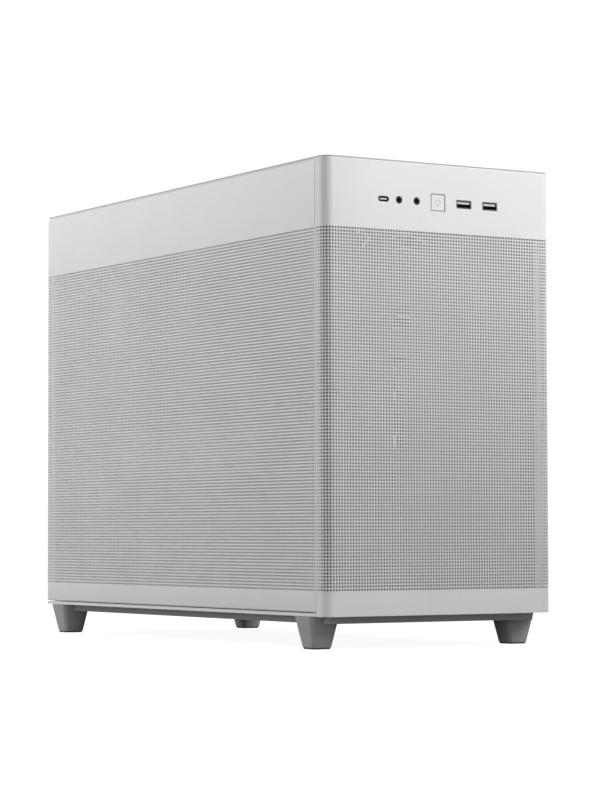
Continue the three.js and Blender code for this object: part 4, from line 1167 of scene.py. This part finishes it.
# ---------------------------------------------------------------- power supply and leads
def power_supply():
    (x0, _), (y0, back), (z0, _) = span("psu_housing")
    centre = front_middle("psu_housing")
    guard = Shell()
    y = y0 - 1.3
    for radius in range(26, 67, 10):
        rings = []
        for k in range(64):
            turn = 2 * math.pi * k / 64
            across, up = math.cos(turn), math.sin(turn)
            section = circle(0.8, 8, (radius, y))
            rings.append([(centre[0] + r * across, b, centre[1] + r * up) for r, b in section])
        guard.loft(rings, closed=True)
    for k in range(4):
        turn = math.pi / 4 + k * math.pi / 2
        (x_in, z_in), (x_out, z_out) = polar(centre, 18, turn), polar(centre, 68, turn)
        guard.wire([(x_in, y + 0.6, z_in), (x_out, y + 0.6, z_out)], 0.8, 8)
    guard.rod(18, y - 0.5, y + 0.9, "y", centre, 40)
    build("supply_fan_guard", guard, "bare_steel", replaced=["psu_fan_guard"], smooth=50)
    sockets, holes = Shell(), Shell()
    for row in range(2):
        for column in range(5):
            place = (x0 + 22 + column * 26, z0 + 40 + row * 30)
            outer, inner = rounded(20, 12, 1, 3, place), rounded(17.5, 9.5, 0.6, 3, place)
            sockets.ring(outer, inner, back - 0.5, back + 0.25, "y")
            holes.prism(rounded(17.4, 9.4, 0.6, 3, place), back - 0.4, back + 0.05, "y")
    build("supply_outputs", sockets, "black_plastic")
    build("supply_output_faces", holes, DARK)


def mains_cable():
    """The black lead from the inlet, along the floor and up to the power supply's plug."""
    x, z = front_middle("rear_power_inlet")
    start, floor = 203.7, 34.9
    plug_x, plug_y, plug_z = -62, -150, 199
    route = [
        (x, start, z),
        (x, start - 14, z),
        (x - 3, start - 34, floor + 6),
        (x - 6, start - 56, floor),
        (x - 8, 40, floor),
        (x - 8, -80, floor),
        (x - 7, -118, floor + 3),
        (x - 2, -142, floor + 26),
        (plug_x, plug_y, floor + 60),
        (plug_x, plug_y, plug_z - 30),
    ]
    lead = Shell().wire(smooth_path(route), 3.4, 16)
    for k in range(6):
        low = plug_z - 34 - k * 3
        lead.rod(4.6 - 0.15 * k, low, low + 1.6, "z", (plug_x, plug_y), 20)
    plug = [(plug_z - 30.4, 19, 13), (plug_z - 26, 24, 16), (plug_z + 8, 24, 16)]
    lead.loft([lift(rounded(w, h, 3, 4, (plug_x, plug_y)), at, "z") for at, w, h in plug])
    build("mains_cable", lead, "black_plastic", replaced=["mains_lead"], smooth=40)


def board_lead():
    """The sleeved bundle that bends from beside the power supply into the board's main connector."""
    _, (y0, _), _ = span("board_power_lead")
    plug_z = BOARD_TOP - 76
    wires = Shell()
    for k in range(12):
        shift = (k % 6 - 2.5) * 3.4
        layer = 1.7 if k < 6 else -1.7
        path = [
            (38 + layer, y0 + 0.4, plug_z + 16 + shift),
            (38 + layer, y0 + 12, plug_z + 16 + shift),
            (36 + layer, y0 + 34, plug_z + 10 + shift),
            (30 + layer, -51, plug_z + 2 + shift * 1.3),
            (30 + layer, -27, plug_z + shift * 2),
            (36 + layer, -15 + layer, plug_z + shift * 2.6),
            (BOARD_FACE - 24, -15 + layer * 1.4, plug_z + shift * 2.6),
        ]
        wires.wire(smooth_path(path, 6), 1.55, 10)
    build("board_lead_wires", wires, "sleeve", replaced=["board_power_lead"], smooth=50)
    plug = Shell().box((BOARD_FACE - 25, BOARD_FACE), (-20, -10), (plug_z - 26, plug_z + 26))
    plug.box((BOARD_FACE - 20, BOARD_FACE - 6), (-10.2, -8.4), (plug_z - 4, plug_z + 4))
    build("board_lead_plug", plug, "white_plastic", bevel=0.4)


# ---------------------------------------------------------------- CAD nodes that are shown as they are
def dress_cad_nodes():
    """Gives every CAD node that is still shown its slot's finish, with softened edges."""
    slots = {}
    for part in frame["record"]["subparts"]:
        slots[part["node"]] = part["material_slot"]
    for node, obj in frame["nodes"].items():
        if obj.hide_render:
            continue
        obj.data.materials.clear()
        # nodes in the grey_steel slot take the darkened powder coat, which is painted shade for the inside
        # of the case
        obj.data.materials.append(FINISHES[slots[node]])
        soften(obj, 0.2)


# ---------------------------------------------------------------- light and floor
def soft_light(name, at, aim, size, watts, spread=180):
    """A rectangular light; a spread below 180 degrees gathers it into a beam that fades at its edges."""
    data = bpy.data.lights.new(name, "AREA")
    data.spread = math.radians(spread)
    data.shape = "RECTANGLE"
    data.size, data.size_y = size
    data.energy = watts
    light = bpy.data.objects.new(name, data)
    light.location = at
    light.rotation_mode = "QUATERNION"
    light.rotation_quaternion = (Vector(aim) - Vector(at)).to_track_quat("-Z", "Y")
    light.visible_camera = False
    bpy.context.scene.collection.objects.link(light)


def make_floor():
    """A dull floor that takes a faint shadow; the glow is for the camera alone and makes it read white."""
    tone, brightness = 0.24, 0.94
    bpy.ops.mesh.primitive_plane_add(size=60, location=(0, 0, 0))
    floor = bpy.context.object
    floor.name = "floor"
    material = bpy.data.materials.new("pale_floor")
    material.use_nodes = True
    nodes, links = material.node_tree.nodes, material.node_tree.links
    shader = nodes["Principled BSDF"]
    shader.inputs["Base Color"].default_value = (tone, tone, tone, 1)
    shader.inputs["Roughness"].default_value = 0.9
    shader.inputs["Specular IOR Level"].default_value = 0.0
    glow = nodes.new("ShaderNodeEmission")
    glow.inputs["Strength"].default_value = brightness
    both = nodes.new("ShaderNodeAddShader")
    seen = nodes.new("ShaderNodeLightPath")
    mix = nodes.new("ShaderNodeMixShader")
    links.new(shader.outputs["BSDF"], both.inputs[0])
    links.new(glow.outputs["Emission"], both.inputs[1])
    links.new(seen.outputs["Is Camera Ray"], mix.inputs["Fac"])
    links.new(shader.outputs["BSDF"], mix.inputs[1])
    links.new(both.outputs["Shader"], mix.inputs[2])
    links.new(mix.outputs["Shader"], nodes["Material Output"].inputs["Surface"])
    floor.data.materials.append(material)


def make_world():
    """White to the camera, and a dimmer even sky for the light that falls on the object."""
    sky, seen_white = 0.42, 1.05
    world = bpy.data.worlds.new("studio")
    bpy.context.scene.world = world
    world.use_nodes = True
    nodes, links = world.node_tree.nodes, world.node_tree.links
    lighting = nodes["Background"]
    lighting.inputs["Color"].default_value = (1, 1, 1, 1)
    lighting.inputs["Strength"].default_value = sky
    backdrop = nodes.new("ShaderNodeBackground")
    backdrop.inputs["Color"].default_value = (1, 1, 1, 1)
    backdrop.inputs["Strength"].default_value = seen_white
    seen = nodes.new("ShaderNodeLightPath")
    mix = nodes.new("ShaderNodeMixShader")
    links.new(seen.outputs["Is Camera Ray"], mix.inputs["Fac"])
    links.new(lighting.outputs["Background"], mix.inputs[1])
    links.new(backdrop.outputs["Background"], mix.inputs[2])
    links.new(mix.outputs["Shader"], nodes["World Output"].inputs["Surface"])


def make_studio():
    scene = bpy.context.scene
    scene.view_settings.view_transform = "Standard"
    scene.view_settings.look = "None"
    make_world()
    make_floor()
    top_of_case = (0, 0, 0.3)
    soft_light("front_right_light", (0.59, -1.0, 0.85), (-0.05, -0.15, 0.45), (0.8, 0.6), 2.9, spread=80)
    soft_light("left_rear_light", (-1.0, 0.82, 0.85), top_of_case, (0.9, 0.7), 10.4)
    soft_light("low_left_light", (-1.1, -0.45, 0.2), (0, 0, 0.02), (1.0, 0.25), 1.1)
    soft_light("right_rear_light", (1.6, 1.6, 0.8), top_of_case, (1.0, 1.0), 6)


# ---------------------------------------------------------------- the whole scene
front_cover()
side_cover("left", -1)
side_cover("right", 1)
top_cover()
front_sockets()
feet()
bottom_filter()
fans()
rear_fasteners()
slot_screws()
rear_sockets()
display_sockets()
inlet_pins()
cooler()
finned("vrm_heatsink", "regulator_heatsink", 12, 1.6, "y")
finned("chipset_heatsink", "chipset_fins", 8, 1.4, "z")
memory()
board_parts()
graphics_card()
power_supply()
mains_cable()
board_lead()
dress_cad_nodes()
make_studio()
